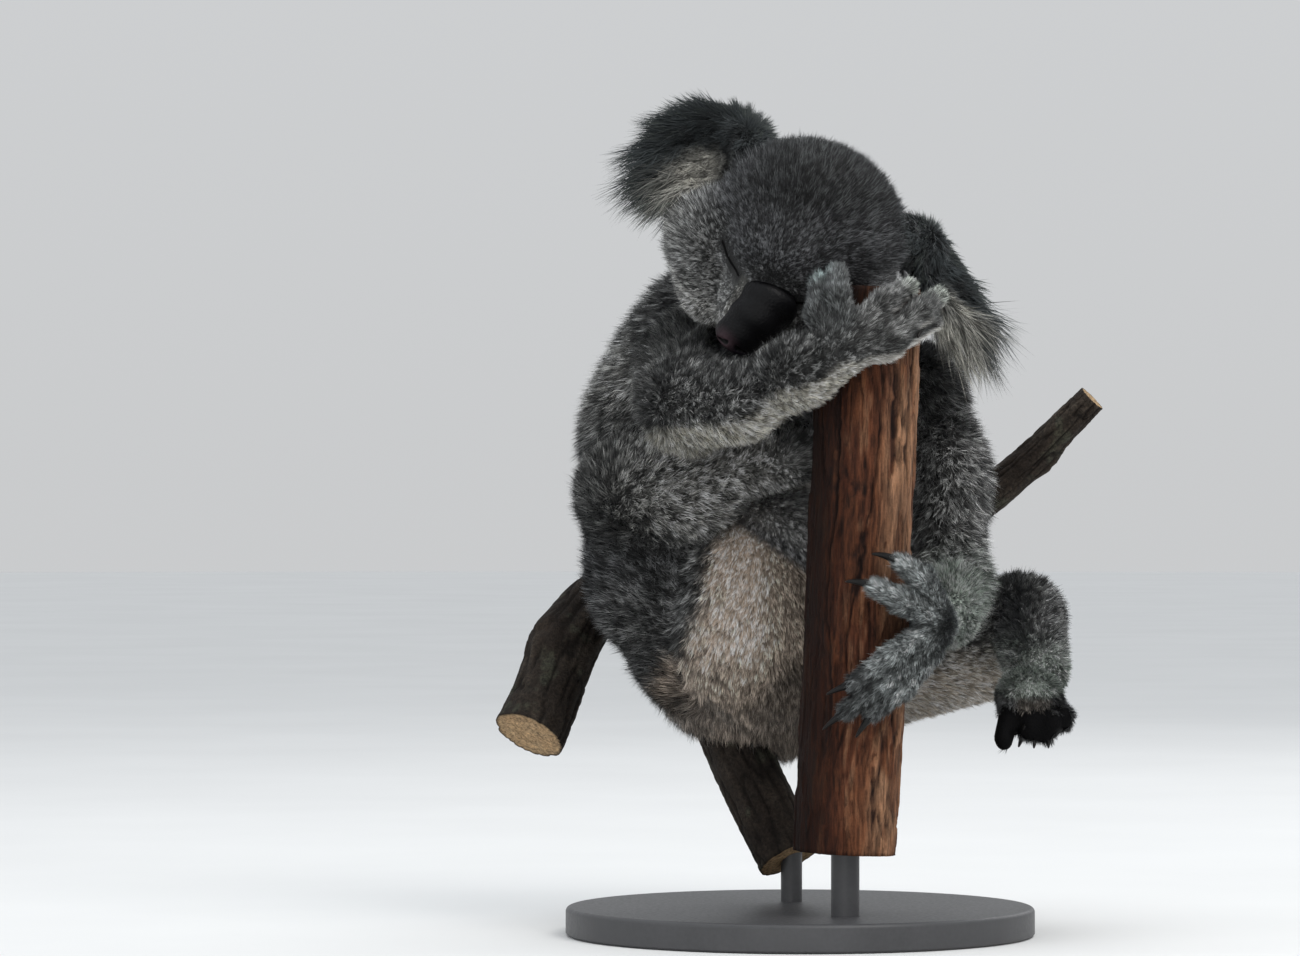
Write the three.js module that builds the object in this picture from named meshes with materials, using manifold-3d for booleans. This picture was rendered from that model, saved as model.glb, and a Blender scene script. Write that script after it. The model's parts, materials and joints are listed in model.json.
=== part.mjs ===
// Life-size koala asleep on a cut perch, held by a plain display stand.
// Millimetres, +Z up. The origin is the centre of the underside of the stand's base.
// The koala faces -Y; "_R" and "_L" are the animal's own right (-X) and left (+X).
//
// Every part of the body is a smooth union of ellipsoids and round cones that reaches out to the tips
// of the coat. A sphere or capsule is laid over the part's middle and each of its vertices is moved
// along its own ray onto that union; neighbours are then cut back so that they meet with a thin gap.

import * as THREE from "three";
import { mergeVertices } from "three/addons/utils/BufferGeometryUtils.js";
import Module from "manifold-3d";

const wasm = await Module();
wasm.setup();

// ---------------------------------------------------------------- driving sizes
const GAP = 0.35; // clearance between touching parts

const HEAD = {
  centre: [4.8, -12, 448.3],
  roll: 29, // degrees, towards the animal's left shoulder
  yaw: 8,
  pitch: 36, // chin down
  skull: [65, 62, 57], // half width, half depth, half height
};
const EAR_R = { centre: [-70.5, 0, 493], half: [56, 18, 43] }; // long, thin, broad half sizes with the fringe
const EAR_L = { centre: [96, 18, 405.5], half: [60, 19, 38] };
const EYE = { at: [27.5, 54.5, -7.6], radius: 8.2 }; // in the head: to the side, forward, up
const CLAW = { hand: 19, foot: 15, root: 3.9, tip: 0.55 }; // lengths and radii

const POST = { foot: [26, -85, 58], top: [42.5, -85, 411], radius: 34.5 };
// The branch behind the back: points along its middle, radii at its two ends, and where it is parted (in mm of run).
const BRANCH = {
  path: [[-174.7, 70, 124.4], [-131, 122, 209], [-30, 178, 238], [68, 173, 240], [138, 150, 287], [197.5, 135, 345]],
  radii: [24.5, 10.5],
  parts: [0, 0.26, 0.68, 1],
};
const STUB = { path: [[-70, 165, 186], [-38.6, 70, 113.2], [-5.4, 40, 45.9]], radii: [20, 22] };

const STAND = { radius: 150, height: 18, bevel: 2.5, rod: 9, rodStub: 7 };

const COLOUR = {
  coat: 0x6d6b68,
  coatPale: 0xb9b2a6,
  nose: 0x1d1a1d,
  eye: 0x15100d,
  claw: 0x17140f,
  wood: 0x8a4f36,
  bark: 0x4b3d31,
  stand: 0x2b2b2c,
};

// ---------------------------------------------------------------- small vector helpers
const V = (a) => new THREE.Vector3(a[0], a[1], a[2]);
const DEG = Math.PI / 180;

// Head frame: columns are the animal's left, forward and up.
function headFrame({ roll, yaw, pitch }) {
  const neutral = new THREE.Matrix4().makeBasis(V([1, 0, 0]), V([0, -1, 0]), V([0, 0, -1]));
  const c = Math.cos(pitch * DEG), s = Math.sin(pitch * DEG);
  const left = [1, 0, 0];
  const forward = [0, -c, -s];
  const up = [0, -s, c];
  const turn = (v) => {
    const y = -yaw * DEG, r = roll * DEG;
    const a = [v[0] * Math.cos(y) - v[1] * Math.sin(y), v[0] * Math.sin(y) + v[1] * Math.cos(y), v[2]];
    return [a[0] * Math.cos(r) + a[2] * Math.sin(r), a[1], -a[0] * Math.sin(r) + a[2] * Math.cos(r)];
  };
  return [turn(left), turn(forward), turn(up)];
}
const HF = headFrame(HEAD);
const inHead = (l, f, u) =>
  [0, 1, 2].map((i) => HEAD.centre[i] + HF[0][i] * l + HF[1][i] * f + HF[2][i] * u);
// The head frame tipped forward about the left axis, for the slope of the nose.
const tipped = (deg) => {
  const c = Math.cos(deg * DEG), s = Math.sin(deg * DEG);
  return [
    HF[0],
    HF[1].map((v, i) => v * c - HF[2][i] * s),
    HF[1].map((v, i) => v * s + HF[2][i] * c),
  ];
};
// A frame from a long axis and a rough thin axis.
function discFrame(long, thin) {
  const a = V(long).normalize();
  const n = V(thin).addScaledVector(a, -V(thin).dot(a)).normalize();
  const b = new THREE.Vector3().crossVectors(a, n);
  return [a.toArray(), n.toArray(), b.toArray()];
}
const EAR_R_FRAME = discFrame([-0.92, 0, -0.39], [-0.15, -1, -0.1]);
const EAR_L_FRAME = discFrame([0.49, 0.1, -0.87], [0.8, -0.45, 0.42]);

// ---------------------------------------------------------------- distance fields
// Ellipsoid with half sizes r, in frame (three axes) or upright.
const blob = (c, r, frame = null) => (p) => {
  let x = p[0] - c[0], y = p[1] - c[1], z = p[2] - c[2];
  if (frame) {
    const q = frame.map((a) => a[0] * x + a[1] * y + a[2] * z);
    [x, y, z] = q;
  }
  const k0 = Math.hypot(x / r[0], y / r[1], z / r[2]);
  const k1 = Math.hypot(x / (r[0] * r[0]), y / (r[1] * r[1]), z / (r[2] * r[2]));
  return (k0 * (k0 - 1)) / Math.max(k1, 1e-9);
};
const headBlob = (l, f, u, r, frame = HF) => blob(inHead(l, f, u), r, frame);
// Round cone from a (radius r1) to b (radius r2).
const cone = (a, b, r1, r2) => {
  const ba = [b[0] - a[0], b[1] - a[1], b[2] - a[2]];
  const l2 = ba[0] ** 2 + ba[1] ** 2 + ba[2] ** 2;
  const rr = r1 - r2, a2 = l2 - rr * rr, il2 = 1 / l2;
  return (p) => {
    const pa = [p[0] - a[0], p[1] - a[1], p[2] - a[2]];
    const y = pa[0] * ba[0] + pa[1] * ba[1] + pa[2] * ba[2], z = y - l2;
    let x2 = 0;
    for (let i = 0; i < 3; i++) x2 += (pa[i] * l2 - ba[i] * y) ** 2;
    const y2 = y * y * l2, z2 = z * z * l2, k = Math.sign(rr) * rr * rr * x2;
    if (Math.sign(z) * a2 * z2 > k) return Math.sqrt(x2 + z2) * il2 - r2;
    if (Math.sign(y) * a2 * y2 < k) return Math.sqrt(x2 + y2) * il2 - r1;
    return (Math.sqrt(x2 * a2 * il2) + y * rr) * il2 - r1;
  };
};
// Smooth union of several fields.
const union = (k, ...fields) => (p) => {
  let d = fields[0](p);
  for (let i = 1; i < fields.length; i++) {
    const e = fields[i](p), h = Math.max(k - Math.abs(d - e), 0) / k;
    d = Math.min(d, e) - h * h * k * 0.25;
  }
  return d;
};

// ---------------------------------------------------------------- solids
// One closed manifold from a geometry, facing out.
function solid(geometry) {
  const g = geometry.clone();
  for (const name of Object.keys(g.attributes)) if (name !== "position") g.deleteAttribute(name);
  const m = mergeVertices(g, 1e-4);
  const tri = [];
  const ix = m.index.array;
  for (let i = 0; i < ix.length; i += 3)
    if (ix[i] !== ix[i + 1] && ix[i + 1] !== ix[i + 2] && ix[i] !== ix[i + 2]) tri.push(ix[i], ix[i + 1], ix[i + 2]);
  const pos = m.attributes.position.array;
  let six = 0;
  for (let i = 0; i < tri.length; i += 3) {
    const [a, b, c] = [0, 1, 2].map((j) => [0, 1, 2].map((q) => pos[tri[i + j] * 3 + q]));
    six += a[0] * (b[1] * c[2] - b[2] * c[1]) - a[1] * (b[0] * c[2] - b[2] * c[0]) + a[2] * (b[0] * c[1] - b[1] * c[0]);
  }
  if (six < 0) for (let i = 0; i < tri.length; i += 3) [tri[i + 1], tri[i + 2]] = [tri[i + 2], tri[i + 1]];
  return new wasm.Manifold(
    new wasm.Mesh({ numProp: 3, vertProperties: new Float32Array(pos), triVerts: new Uint32Array(tri) }),
  );
}

// Moves a ray's far end onto the field's level, coming in from outside.
function onField(origin, dir, field, level, reach) {
  const at = (t) => field([origin[0] + dir[0] * t, origin[1] + dir[1] * t, origin[2] + dir[2] * t]) - level;
  let hi = reach, lo = 0;
  const steps = 48;
  for (let i = steps; i >= 0; i--) {
    const t = (reach * i) / steps;
    if (at(t) < 0) {
      lo = t;
      hi = Math.min(reach, t + reach / steps);
      break;
    }
    if (i === 0) return 0.5;
  }
  for (let i = 0; i < 26; i++) {
    const m = (lo + hi) / 2;
    if (at(m) < 0) lo = m;
    else hi = m;
  }
  return (lo + hi) / 2;
}

// A sphere's vertices moved onto a field. frame's third axis carries the poles.
function wrapSphere(centre, field, { sides, rows, reach = 160, frame = [[1, 0, 0], [0, 1, 0], [0, 0, 1]] }) {
  return (level) => {
    const g = new THREE.SphereGeometry(1, sides, rows);
    const p = g.attributes.position;
    for (let i = 0; i < p.count; i++) {
      const n = [p.getX(i), p.getZ(i), p.getY(i)];
      const d = [0, 1, 2].map((q) => frame[0][q] * n[0] + frame[1][q] * n[1] + frame[2][q] * n[2]);
      const t = onField(centre, d, field, level, reach);
      p.setXYZ(i, centre[0] + d[0] * t, centre[1] + d[1] * t, centre[2] + d[2] * t);
    }
    return solid(g);
  };
}

// A capsule's vertices moved onto a field, along a path of points.
function wrapLimb(path, field, { sides, rings, cap = 2, reach = 90 }) {
  const pts = path.map(V);
  const curve = pts.length === 2 ? new THREE.LineCurve3(pts[0], pts[1]) : new THREE.CatmullRomCurve3(pts, false, "centripetal");
  const frames = curve.computeFrenetFrames(rings, false);
  return (level) => {
    const H = 10;
    const g = new THREE.CapsuleGeometry(1, H, cap, sides, rings);
    const p = g.attributes.position;
    for (let i = 0; i < p.count; i++) {
      const y = p.getY(i), mid = Math.min(Math.max(y, -H / 2), H / 2);
      const s = Math.round(((mid + H / 2) / H) * rings);
      const o = curve.getPointAt(s / rings);
      const d = new THREE.Vector3()
        .addScaledVector(frames.normals[s], p.getX(i))
        .addScaledVector(frames.binormals[s], p.getZ(i))
        .addScaledVector(frames.tangents[s], y - mid)
        .normalize();
      const t = onField(o.toArray(), d.toArray(), field, level, reach);
      p.setXYZ(i, o.x + d.x * t, o.y + d.y * t, o.z + d.z * t);
    }
    return solid(g);
  };
}

// A round tapering finger or toe, bent at its knuckle.
const digit = (points, radii, sides = 6) => {
  const f = union(3, ...points.slice(1).map((b, i) => cone(points[i], b, radii[i], radii[i + 1])));
  return wrapLimb(points, f, { sides, rings: 2, cap: 2, reach: 22 });
};

// Parts joined into one body, at a level.
const joined = (...makers) => (level) => makers.map((m) => m(level)).reduce((a, b) => a.add(b));

// A claw: a flattened cone swept along an arc from root to tip.
function claw(root, tip, bend, length) {
  const a = V(root), b = V(tip), dir = b.clone().sub(a).normalize();
  const end = a.clone().addScaledVector(dir, length);
  const mid = a.clone().add(end).multiplyScalar(0.5).addScaledVector(V(bend), length * 0.22);
  const curve = new THREE.QuadraticBezierCurve3(a, mid, end);
  const side = new THREE.Vector3().crossVectors(dir, V(bend)).normalize();
  return (level) => {
    const rings = 3, sides = 5;
    const g = new THREE.CylinderGeometry(1, 1, 1, sides, rings);
    const p = g.attributes.position;
    for (let i = 0; i < p.count; i++) {
      const s = p.getY(i) + 0.5;
      const o = curve.getPoint(s), t = curve.getTangent(s);
      const up = new THREE.Vector3().crossVectors(side, t).normalize();
      const r = CLAW.tip + (CLAW.root - CLAW.tip) * Math.pow(1 - s, 0.75) + level;
      o.addScaledVector(side, p.getX(i) * r * 0.72).addScaledVector(up, p.getZ(i) * r);
      o.addScaledVector(t, (s - 0.5) * 2 * level);
      p.setXYZ(i, o.x, o.y, o.z);
    }
    return solid(g);
  };
}

// A length of wood along a path, or along the part of it from s0 to s1, with flat sawn ends. wave shapes its outline.
function timber(path, r1, r2, { sides, rings, wave = () => 0, s0 = 0, s1 = 1 }) {
  const pts = path.map(V);
  const curve = pts.length === 2 ? new THREE.LineCurve3(pts[0], pts[1]) : new THREE.CatmullRomCurve3(pts, false, "centripetal");
  const FINE = 100;
  const frames = curve.computeFrenetFrames(FINE, false);
  return (level) => {
    const g = new THREE.CylinderGeometry(1, 1, 1, sides, rings);
    const p = g.attributes.position;
    for (let i = 0; i < p.count; i++) {
      const k = Math.round((p.getY(i) + 0.5) * rings);
      const s = s0 + ((s1 - s0) * k) / rings, q = Math.round(s * FINE);
      const o = curve.getPointAt(s);
      const x = p.getX(i), z = p.getZ(i), rad = Math.hypot(x, z);
      const angle = Math.atan2(z, x);
      const r = r1 + (r2 - r1) * s + (rad > 0.5 ? wave(angle, s) : 0) + level;
      o.addScaledVector(frames.normals[q], x * r).addScaledVector(frames.binormals[q], z * r);
      o.addScaledVector(frames.tangents[q], (k === 0 ? -1 : k === rings ? 1 : 0) * level);
      p.setXYZ(i, o.x, o.y, o.z);
    }
    return solid(g);
  };
}

// ---------------------------------------------------------------- the body's fields
const headField = union(12,
  headBlob(0, 3, 7, HEAD.skull),
  headBlob(-49, 22, -23, [34, 38, 37]), // cheeks
  headBlob(49, 22, -23, [34, 38, 37]),
  headBlob(0, 44, 8, [36, 38, 30]), // brow
  headBlob(0, 60, -24, [29, 31, 25]), // muzzle
  headBlob(0, 48, -46, [26, 30, 16]), // chin
  headBlob(-34, 36, -46, [29, 29, 26]), // jowls
  headBlob(34, 36, -46, [29, 29, 26]));
const noseField = union(8,
  headBlob(7, 73.5, -11.5, [19, 11, 17.5], tipped(30)),
  headBlob(4.5, 81, -24, [18, 11, 16.5], tipped(28)),
  headBlob(-0.8, 86, -37.3, [15, 9.5, 12.5], tipped(20)));
const neckPath = [[-14, 64, 368], inHead(0, -18, -16)];
const trunkField = union(24,
  blob([-40, 72, 317], [109, 68, 100]), // shoulders
  blob([4, 72, 326], [78, 58, 82]),
  blob([-28, 84, 256], [108, 82, 92]), // back
  blob([-19, 78, 196], [94, 82, 94]), // rump
  blob([-58, 74, 369], [59, 52, 70]), // raised right shoulder
  blob([-22, 28, 212], [76, 70, 86])); // belly
const upperArmR = [[-68, 28, 362], [-72, -58, 338]];
const forearmR = [[-71, -74, 339], [-40, -100, 338], [-4, -126, 358], [22, -138, 370]];
const upperArmL = [[80, 84, 350], [98, 36, 232]];
const forearmL = [[99, 30, 220], [90, -66, 204]];
const thighR = [[-60, 50, 192], [-110, 8, 280]];
const shankR = [[-108, 2, 288], [-4, -26, 303]];
const thighL = [[24, 95, 171], [136, 84, 187]];
const shankL = [[148, 72, 204], [152, 0, 170]];

// Digits: points from the palm to the tip. Each hand has two thumbs and three fingers.
const HAND_R = {
  palm: [[40, -136, 377], [25, 13, 17]],
  digits: [
    [[20, -138, 380], [8, -130, 392], [9, -112, 412]],
    [[26, -138, 384], [19, -132, 402], [20, -112, 419]],
    [[30, -139, 384], [48, -134, 400], [63, -122, 409]],
    [[52, -136, 380], [70, -126, 394], [82, -110, 404]],
    [[50, -132, 373], [64, -121, 383], [78, -117, 388]],
  ],
  radii: [10.4, 10, 8.4],
  // direction and bend of each claw
  claws: [
    [[0.45, 0.8, 0.3], [0.1, 0, 1]],
    [[0.25, 0.9, 0.1], [0.1, 0, 1]],
    [[-0.1, 0.8, 0.55], [0.1, 0, 1]],
    [[0.25, 0.95, 0.05], [1, -0.3, 0.3]],
    [[-0.45, -0.75, -0.5], [-0.4, -0.2, 0.9]],
  ],
};
const HAND_L = {
  palm: [[80, -96, 201], [17, 26, 19]],
  digits: [
    [[82, -110, 212], [72, -120, 230], [60, -124, 239]],
    [[78, -114, 206], [60, -126, 216], [44, -130, 224]],
    [[76, -112, 197], [54, -128, 182], [31, -134, 166]],
    [[76, -112, 190], [50, -128, 168], [26, -132, 149]],
    [[78, -108, 184], [60, -122, 163], [42, -128, 148]],
  ],
  radii: [10.6, 10, 8.6],
  claws: [
    [[-0.95, 0.1, 0.3], [0, -0.6, 0.6]],
    [[-0.97, 0.1, 0.2], [0, -0.6, 0.6]],
    [[-0.92, 0.05, -0.38], [0, -0.9, 0.3]],
    [[-0.78, 0.05, -0.62], [0, -0.9, 0.3]],
    [[-0.55, 0.05, -0.82], [0, -0.9, 0.3]],
  ],
};
// Each foot has a clawless great toe, two joined grooming toes and two long toes.
const FOOT_R = {
  sole: { path: [[-2, -31, 306], [38, -31, 326]], radii: [17, 13] },
  digits: [
    [[10, -36, 322], [4, -47, 336]],
    [[36, -34, 334], [50, -37, 346]],
    [[42, -34, 328], [61, -40, 333]],
    [[40, -34, 320], [59, -40, 319]],
  ],
  radii: [[10, 9.5], [8.6, 7.2], [8.6, 7.2], [8.6, 7.2]],
  claws: [
    [1, [0.5, -0.35, 0.8], [0.2, -1, 0], [-2.5, 1, 1.5]],
    [1, [0.65, -0.4, 0.6], [0.2, -1, 0], [3, -1, -2]],
    [2, [0.85, -0.5, 0.1], [0.2, -1, 0], [0, 0, 0]],
    [3, [0.85, -0.5, -0.1], [0.2, -1, 0], [0, 0, 0]],
  ],
};
const FOOT_L = {
  sole: { blobs: [[[145, -24, 153], [23, 33, 21]], [[146, -48, 141], [21, 13, 16]]] },
  digits: [
    [[133, -44, 149], [127, -53, 129]],
    [[146, -46, 146], [144, -56, 135]],
    [[154, -46, 146], [154, -56, 135]],
    [[161, -40, 148], [163, -51, 139]],
  ],
  radii: [[10, 8.5], [9, 8.5], [9, 8.5], [9, 8]],
  claws: [
    [1, [-0.3, 0.4, -0.87], [0, -0.8, 0.3], [-3, 0, 0]],
    [1, [-0.05, 0.4, -0.92], [0, -0.8, 0.3], [3, 0, 0]],
    [2, [0.1, 0.4, -0.92], [0, -0.8, 0.3], [0, 0, 0]],
    [3, [-0.55, -0.15, -0.82], [0.8, -0.2, -0.5], [0, 0, 0]],
  ],
};

const hand = (h) =>
  joined(
    wrapSphere(h.palm[0], blob(...h.palm), { sides: 9, rows: 6, reach: 60 }),
    ...h.digits.map((d) => digit(d, h.radii)));
const foot = (f) =>
  joined(
    f.sole.blobs
      ? wrapSphere([146, -34, 149], union(10, ...f.sole.blobs.map((b) => blob(...b))), { sides: 10, rows: 7, reach: 70 })
      : wrapLimb(f.sole.path, cone(...f.sole.path, ...f.sole.radii), { sides: 10, rings: 2, cap: 2, reach: 50 }),
    ...f.digits.map((d, i) => digit([d[0], d[0].map((v, q) => (v + d[1][q]) / 2), d[1]], [f.radii[i][0], (f.radii[i][0] + f.radii[i][1]) / 2, f.radii[i][1]])));

// ---------------------------------------------------------------- wood
const grooves = (depth, n, twist) => (angle, s) =>
  depth * (Math.sin(n * angle + twist * s * 6.28) * 0.6 + Math.sin((2 * n - 1) * angle + 1.3) * 0.4);

// ---------------------------------------------------------------- the node list, in cutting order
// Each entry: name, colour, roughness, metalness, maker(level). Later parts give way to earlier ones.
const parts = [];
const add = (name, colour, make, rough = 0.95, metal = 0) => parts.push({ name, colour, rough, metal, make });

add("perch_post", COLOUR.wood, timber([POST.foot, POST.top], POST.radius, POST.radius, { sides: 20, rings: 2, wave: grooves(0.7, 5, 0.15) }), 0.85);
["left", "mid", "right"].forEach((name, i) =>
  add(`perch_branch_${name}`, COLOUR.bark, timber(BRANCH.path, ...BRANCH.radii, { sides: 10, rings: [3, 4, 4][i], wave: grooves(0.8, 3, 0.4), s0: BRANCH.parts[i], s1: BRANCH.parts[i + 1] }), 0.9));
add("perch_stub", COLOUR.bark, timber(STUB.path, ...STUB.radii, { sides: 10, rings: 5, wave: grooves(0.8, 3, 0.4) }), 0.9);

// The eyes are seated in the head, so they come before it.
for (const [name, s] of [["eye_R", -1], ["eye_L", 1]]) {
  const c = inHead(s * EYE.at[0], EYE.at[1], EYE.at[2]);
  add(name, COLOUR.eye, wrapSphere(c, blob(c, [EYE.radius, EYE.radius, EYE.radius]), { sides: 10, rows: 6, reach: 20, frame: HF }), 0.25);
}
add("head", COLOUR.coat, wrapSphere(inHead(0, 18, -8), headField, { sides: 20, rows: 14, reach: 130, frame: [HF[0], HF[2], HF[1]] }));
add("nose", COLOUR.nose, wrapSphere(inHead(3, 84, -20), noseField, { sides: 12, rows: 8, reach: 50, frame: HF }), 0.55);
add("ear_R", COLOUR.coatPale, wrapSphere(EAR_R.centre, blob(EAR_R.centre, EAR_R.half, EAR_R_FRAME), { sides: 14, rows: 8, reach: 70, frame: [EAR_R_FRAME[0], EAR_R_FRAME[2], EAR_R_FRAME[1]] }));
add("ear_L", COLOUR.coatPale, wrapSphere(EAR_L.centre, blob(EAR_L.centre, EAR_L.half, EAR_L_FRAME), { sides: 14, rows: 8, reach: 70, frame: [EAR_L_FRAME[0], EAR_L_FRAME[2], EAR_L_FRAME[1]] }));
add("trunk", COLOUR.coat, wrapSphere([-22, 66, 258], trunkField, { sides: 19, rows: 13, reach: 230 }));
add("neck", COLOUR.coat, wrapLimb(neckPath, cone(...neckPath, 64, 54), { sides: 11, rings: 1, cap: 2, reach: 90 }));
add("upper_arm_R", COLOUR.coat, wrapLimb(upperArmR, cone(...upperArmR, 42, 36), { sides: 12, rings: 2, cap: 3, reach: 60 }));
add("forearm_R", COLOUR.coat, wrapLimb(forearmR, union(12, cone(forearmR[0], forearmR[1], 36, 28), cone(forearmR[1], forearmR[2], 27, 25), cone(forearmR[2], forearmR[3], 25, 20)), { sides: 12, rings: 5, cap: 3, reach: 60 }));
add("hand_R", COLOUR.coat, hand(HAND_R));
add("upper_arm_L", COLOUR.coat, wrapLimb(upperArmL, union(14, cone(...upperArmL, 38, 31), blob([98, 60, 290], [34, 38, 50])), { sides: 12, rings: 4, cap: 3, reach: 80 }));
add("forearm_L", COLOUR.coat, wrapLimb(forearmL, cone(...forearmL, 30, 23), { sides: 12, rings: 2, cap: 2, reach: 60 }));
add("hand_L", COLOUR.coat, hand(HAND_L));
add("thigh_R", COLOUR.coat, wrapLimb(thighR, union(12, cone(...thighR, 58, 40), blob([-87, 32, 230], [57, 48, 62])), { sides: 12, rings: 3, cap: 3, reach: 90 }));
add("shank_R", COLOUR.coatPale, wrapLimb(shankR, union(12, blob([-80, -14, 283], [50, 30, 38]), cone(...shankR, 32, 19)), { sides: 12, rings: 3, cap: 3, reach: 80 }));
add("foot_R", COLOUR.coat, foot(FOOT_R));
add("thigh_L", COLOUR.coat, wrapLimb(thighL, cone(...thighL, 56, 42), { sides: 12, rings: 3, cap: 3, reach: 90 }));
add("shank_L", COLOUR.coat, wrapLimb(shankL, cone(...shankL, 30, 24), { sides: 12, rings: 2, cap: 2, reach: 60 }));
add("foot_L", COLOUR.coat, foot(FOOT_L));

for (const [side, h] of [["R", HAND_R], ["L", HAND_L]])
  h.claws.forEach(([dir, bend], i) => {
    const tip = h.digits[i][2], d = V(dir).normalize();
    const root = V(tip).addScaledVector(d, 1).toArray();
    add(`hand_${side}_claw_${i + 1}`, COLOUR.claw, claw(root, V(root).add(d).toArray(), V(bend).normalize().toArray(), CLAW.hand), 0.35);
  });
for (const [side, f] of [["R", FOOT_R], ["L", FOOT_L]])
  f.claws.forEach(([toe, dir, bend, off], i) => {
    const tip = f.digits[toe][1].map((v, q) => v + off[q]), d = V(dir).normalize();
    add(`foot_${side}_claw_${i + 1}`, COLOUR.claw, claw(tip, V(tip).add(d).toArray(), V(bend).normalize().toArray(), CLAW.foot), 0.35);
  });

// Stand: a bevelled disc, and two upright rods that end under the post and under the stub.
add("stand_base", COLOUR.stand, (level) => {
  const { radius: r, height: h, bevel: b } = STAND;
  const profile = [[0, 0], [r - b, 0], [r, b], [r, h - b], [r - b, h], [0, h]].map(([x, y], i) =>
    new THREE.Vector2(Math.max(0, x + (x > 0 ? level : 0)), y + (y > h / 2 ? level : -level)));
  const g = new THREE.LatheGeometry(profile, 28);
  g.rotateX(Math.PI / 2);
  return solid(g);
}, 0.5, 0.1);
const rod = (x, y, z0, z1, r) => (level) => {
  const g = new THREE.CylinderGeometry(r + level, r + level, z1 - z0 + 2 * level, 16, 1);
  g.rotateX(Math.PI / 2);
  g.translate(x, y, (z0 + z1) / 2);
  return solid(g);
};
add("stand_rod_post", COLOUR.stand, rod(POST.foot[0], POST.foot[1], STAND.height - 1, POST.foot[2] + 1, STAND.rod), 0.4, 0.6);
add("stand_rod_branch", COLOUR.stand, rod(STUB.path[2][0] + 1, STUB.path[2][1] + 1, STAND.height - 1, STUB.path[2][2] + 18, STAND.rodStub), 0.4, 0.6);

// ---------------------------------------------------------------- cut neighbours and build the scene
const koala = new THREE.Group();
const grown = [];
for (const part of parts) {
  let body = part.make(0);
  const box = body.boundingBox();
  for (const other of grown) {
    const b = other.box;
    if ([0, 1, 2].some((i) => box.min[i] > b.max[i] || b.min[i] > box.max[i])) continue;
    body = body.subtract(other.body);
  }
  const pieces = body.decompose();
  if (pieces.length > 1) body = pieces.reduce((a, b) => (b.volume() > a.volume() ? b : a));
  const big = part.make(GAP);
  grown.push({ name: part.name, body: big, box: big.boundingBox() });

  const m = body.getMesh(), n = m.numProp;
  const xyz = new Float32Array(m.numVert * 3);
  for (let i = 0; i < m.numVert; i++) for (let q = 0; q < 3; q++) xyz[i * 3 + q] = m.vertProperties[i * n + q];
  const g = new THREE.BufferGeometry();
  g.setAttribute("position", new THREE.BufferAttribute(xyz, 3));
  g.setIndex(new THREE.BufferAttribute(new Uint32Array(m.triVerts), 1));
  g.computeVertexNormals();
  const mesh = new THREE.Mesh(g, new THREE.MeshStandardMaterial({ color: part.colour, roughness: part.rough, metalness: part.metal, flatShading: true }));
  mesh.name = part.name;
  koala.add(mesh);
}

export default koala;
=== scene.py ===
import json
import math
import time

import bpy
import numpy as np
from mathutils import Matrix, Vector

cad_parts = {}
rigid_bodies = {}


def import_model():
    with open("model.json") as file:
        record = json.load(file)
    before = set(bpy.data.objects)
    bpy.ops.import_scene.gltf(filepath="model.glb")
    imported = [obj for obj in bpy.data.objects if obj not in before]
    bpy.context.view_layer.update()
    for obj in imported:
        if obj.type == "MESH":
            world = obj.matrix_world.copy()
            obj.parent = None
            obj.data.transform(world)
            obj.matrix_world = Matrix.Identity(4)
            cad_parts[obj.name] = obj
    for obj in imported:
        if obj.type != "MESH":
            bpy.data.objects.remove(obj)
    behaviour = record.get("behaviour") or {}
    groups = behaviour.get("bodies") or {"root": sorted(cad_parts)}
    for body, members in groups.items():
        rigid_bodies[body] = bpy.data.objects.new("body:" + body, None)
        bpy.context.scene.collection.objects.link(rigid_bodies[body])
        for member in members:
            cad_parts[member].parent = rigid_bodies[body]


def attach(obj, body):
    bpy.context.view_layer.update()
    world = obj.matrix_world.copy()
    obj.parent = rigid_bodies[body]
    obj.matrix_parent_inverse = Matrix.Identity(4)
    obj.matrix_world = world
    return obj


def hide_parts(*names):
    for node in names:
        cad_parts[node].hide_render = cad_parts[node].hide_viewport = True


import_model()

T0 = time.time()
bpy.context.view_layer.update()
MM = 0.001
rng = np.random.default_rng(20260727)


def log(*words):
    print("[%.1fs]" % (time.time() - T0), *words, flush=True)


# =====================================================================================
# 1. The koala's shape as distance fields, in millimetres, as the CAD solids have it
# =====================================================================================
def unit(v):
    v = np.asarray(v, float)
    return v / np.maximum(np.linalg.norm(v, axis=-1, keepdims=True), 1e-12)


def deg(a):
    return math.radians(a)


HEAD_C = np.array([4.8, -12.0, 448.3])
ROLL, YAW, PITCH = 29, 8, 36


def head_frame():
    c, s = math.cos(deg(PITCH)), math.sin(deg(PITCH))

    def turn(v):
        y, r = -deg(YAW), deg(ROLL)
        a = [v[0] * math.cos(y) - v[1] * math.sin(y), v[0] * math.sin(y) + v[1] * math.cos(y), v[2]]
        return [a[0] * math.cos(r) + a[2] * math.sin(r), a[1], -a[0] * math.sin(r) + a[2] * math.cos(r)]

    return np.array([turn([1, 0, 0]), turn([0, -c, -s]), turn([0, -s, c])]).T  # columns: left, forward, up


HF = head_frame()


def H(l, f, u):
    return HEAD_C + HF @ np.array([l, f, u], float)


def tipped(a):
    c, s = math.cos(deg(a)), math.sin(deg(a))
    return np.stack([HF[:, 0], HF[:, 1] * c - HF[:, 2] * s, HF[:, 1] * s + HF[:, 2] * c], 1)


def disc_frame(long, thin):
    a = unit(long)
    n = np.array(thin, float)
    n = unit(n - a * (n @ a))
    return np.stack([a, n, np.cross(a, n)], 1)


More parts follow.
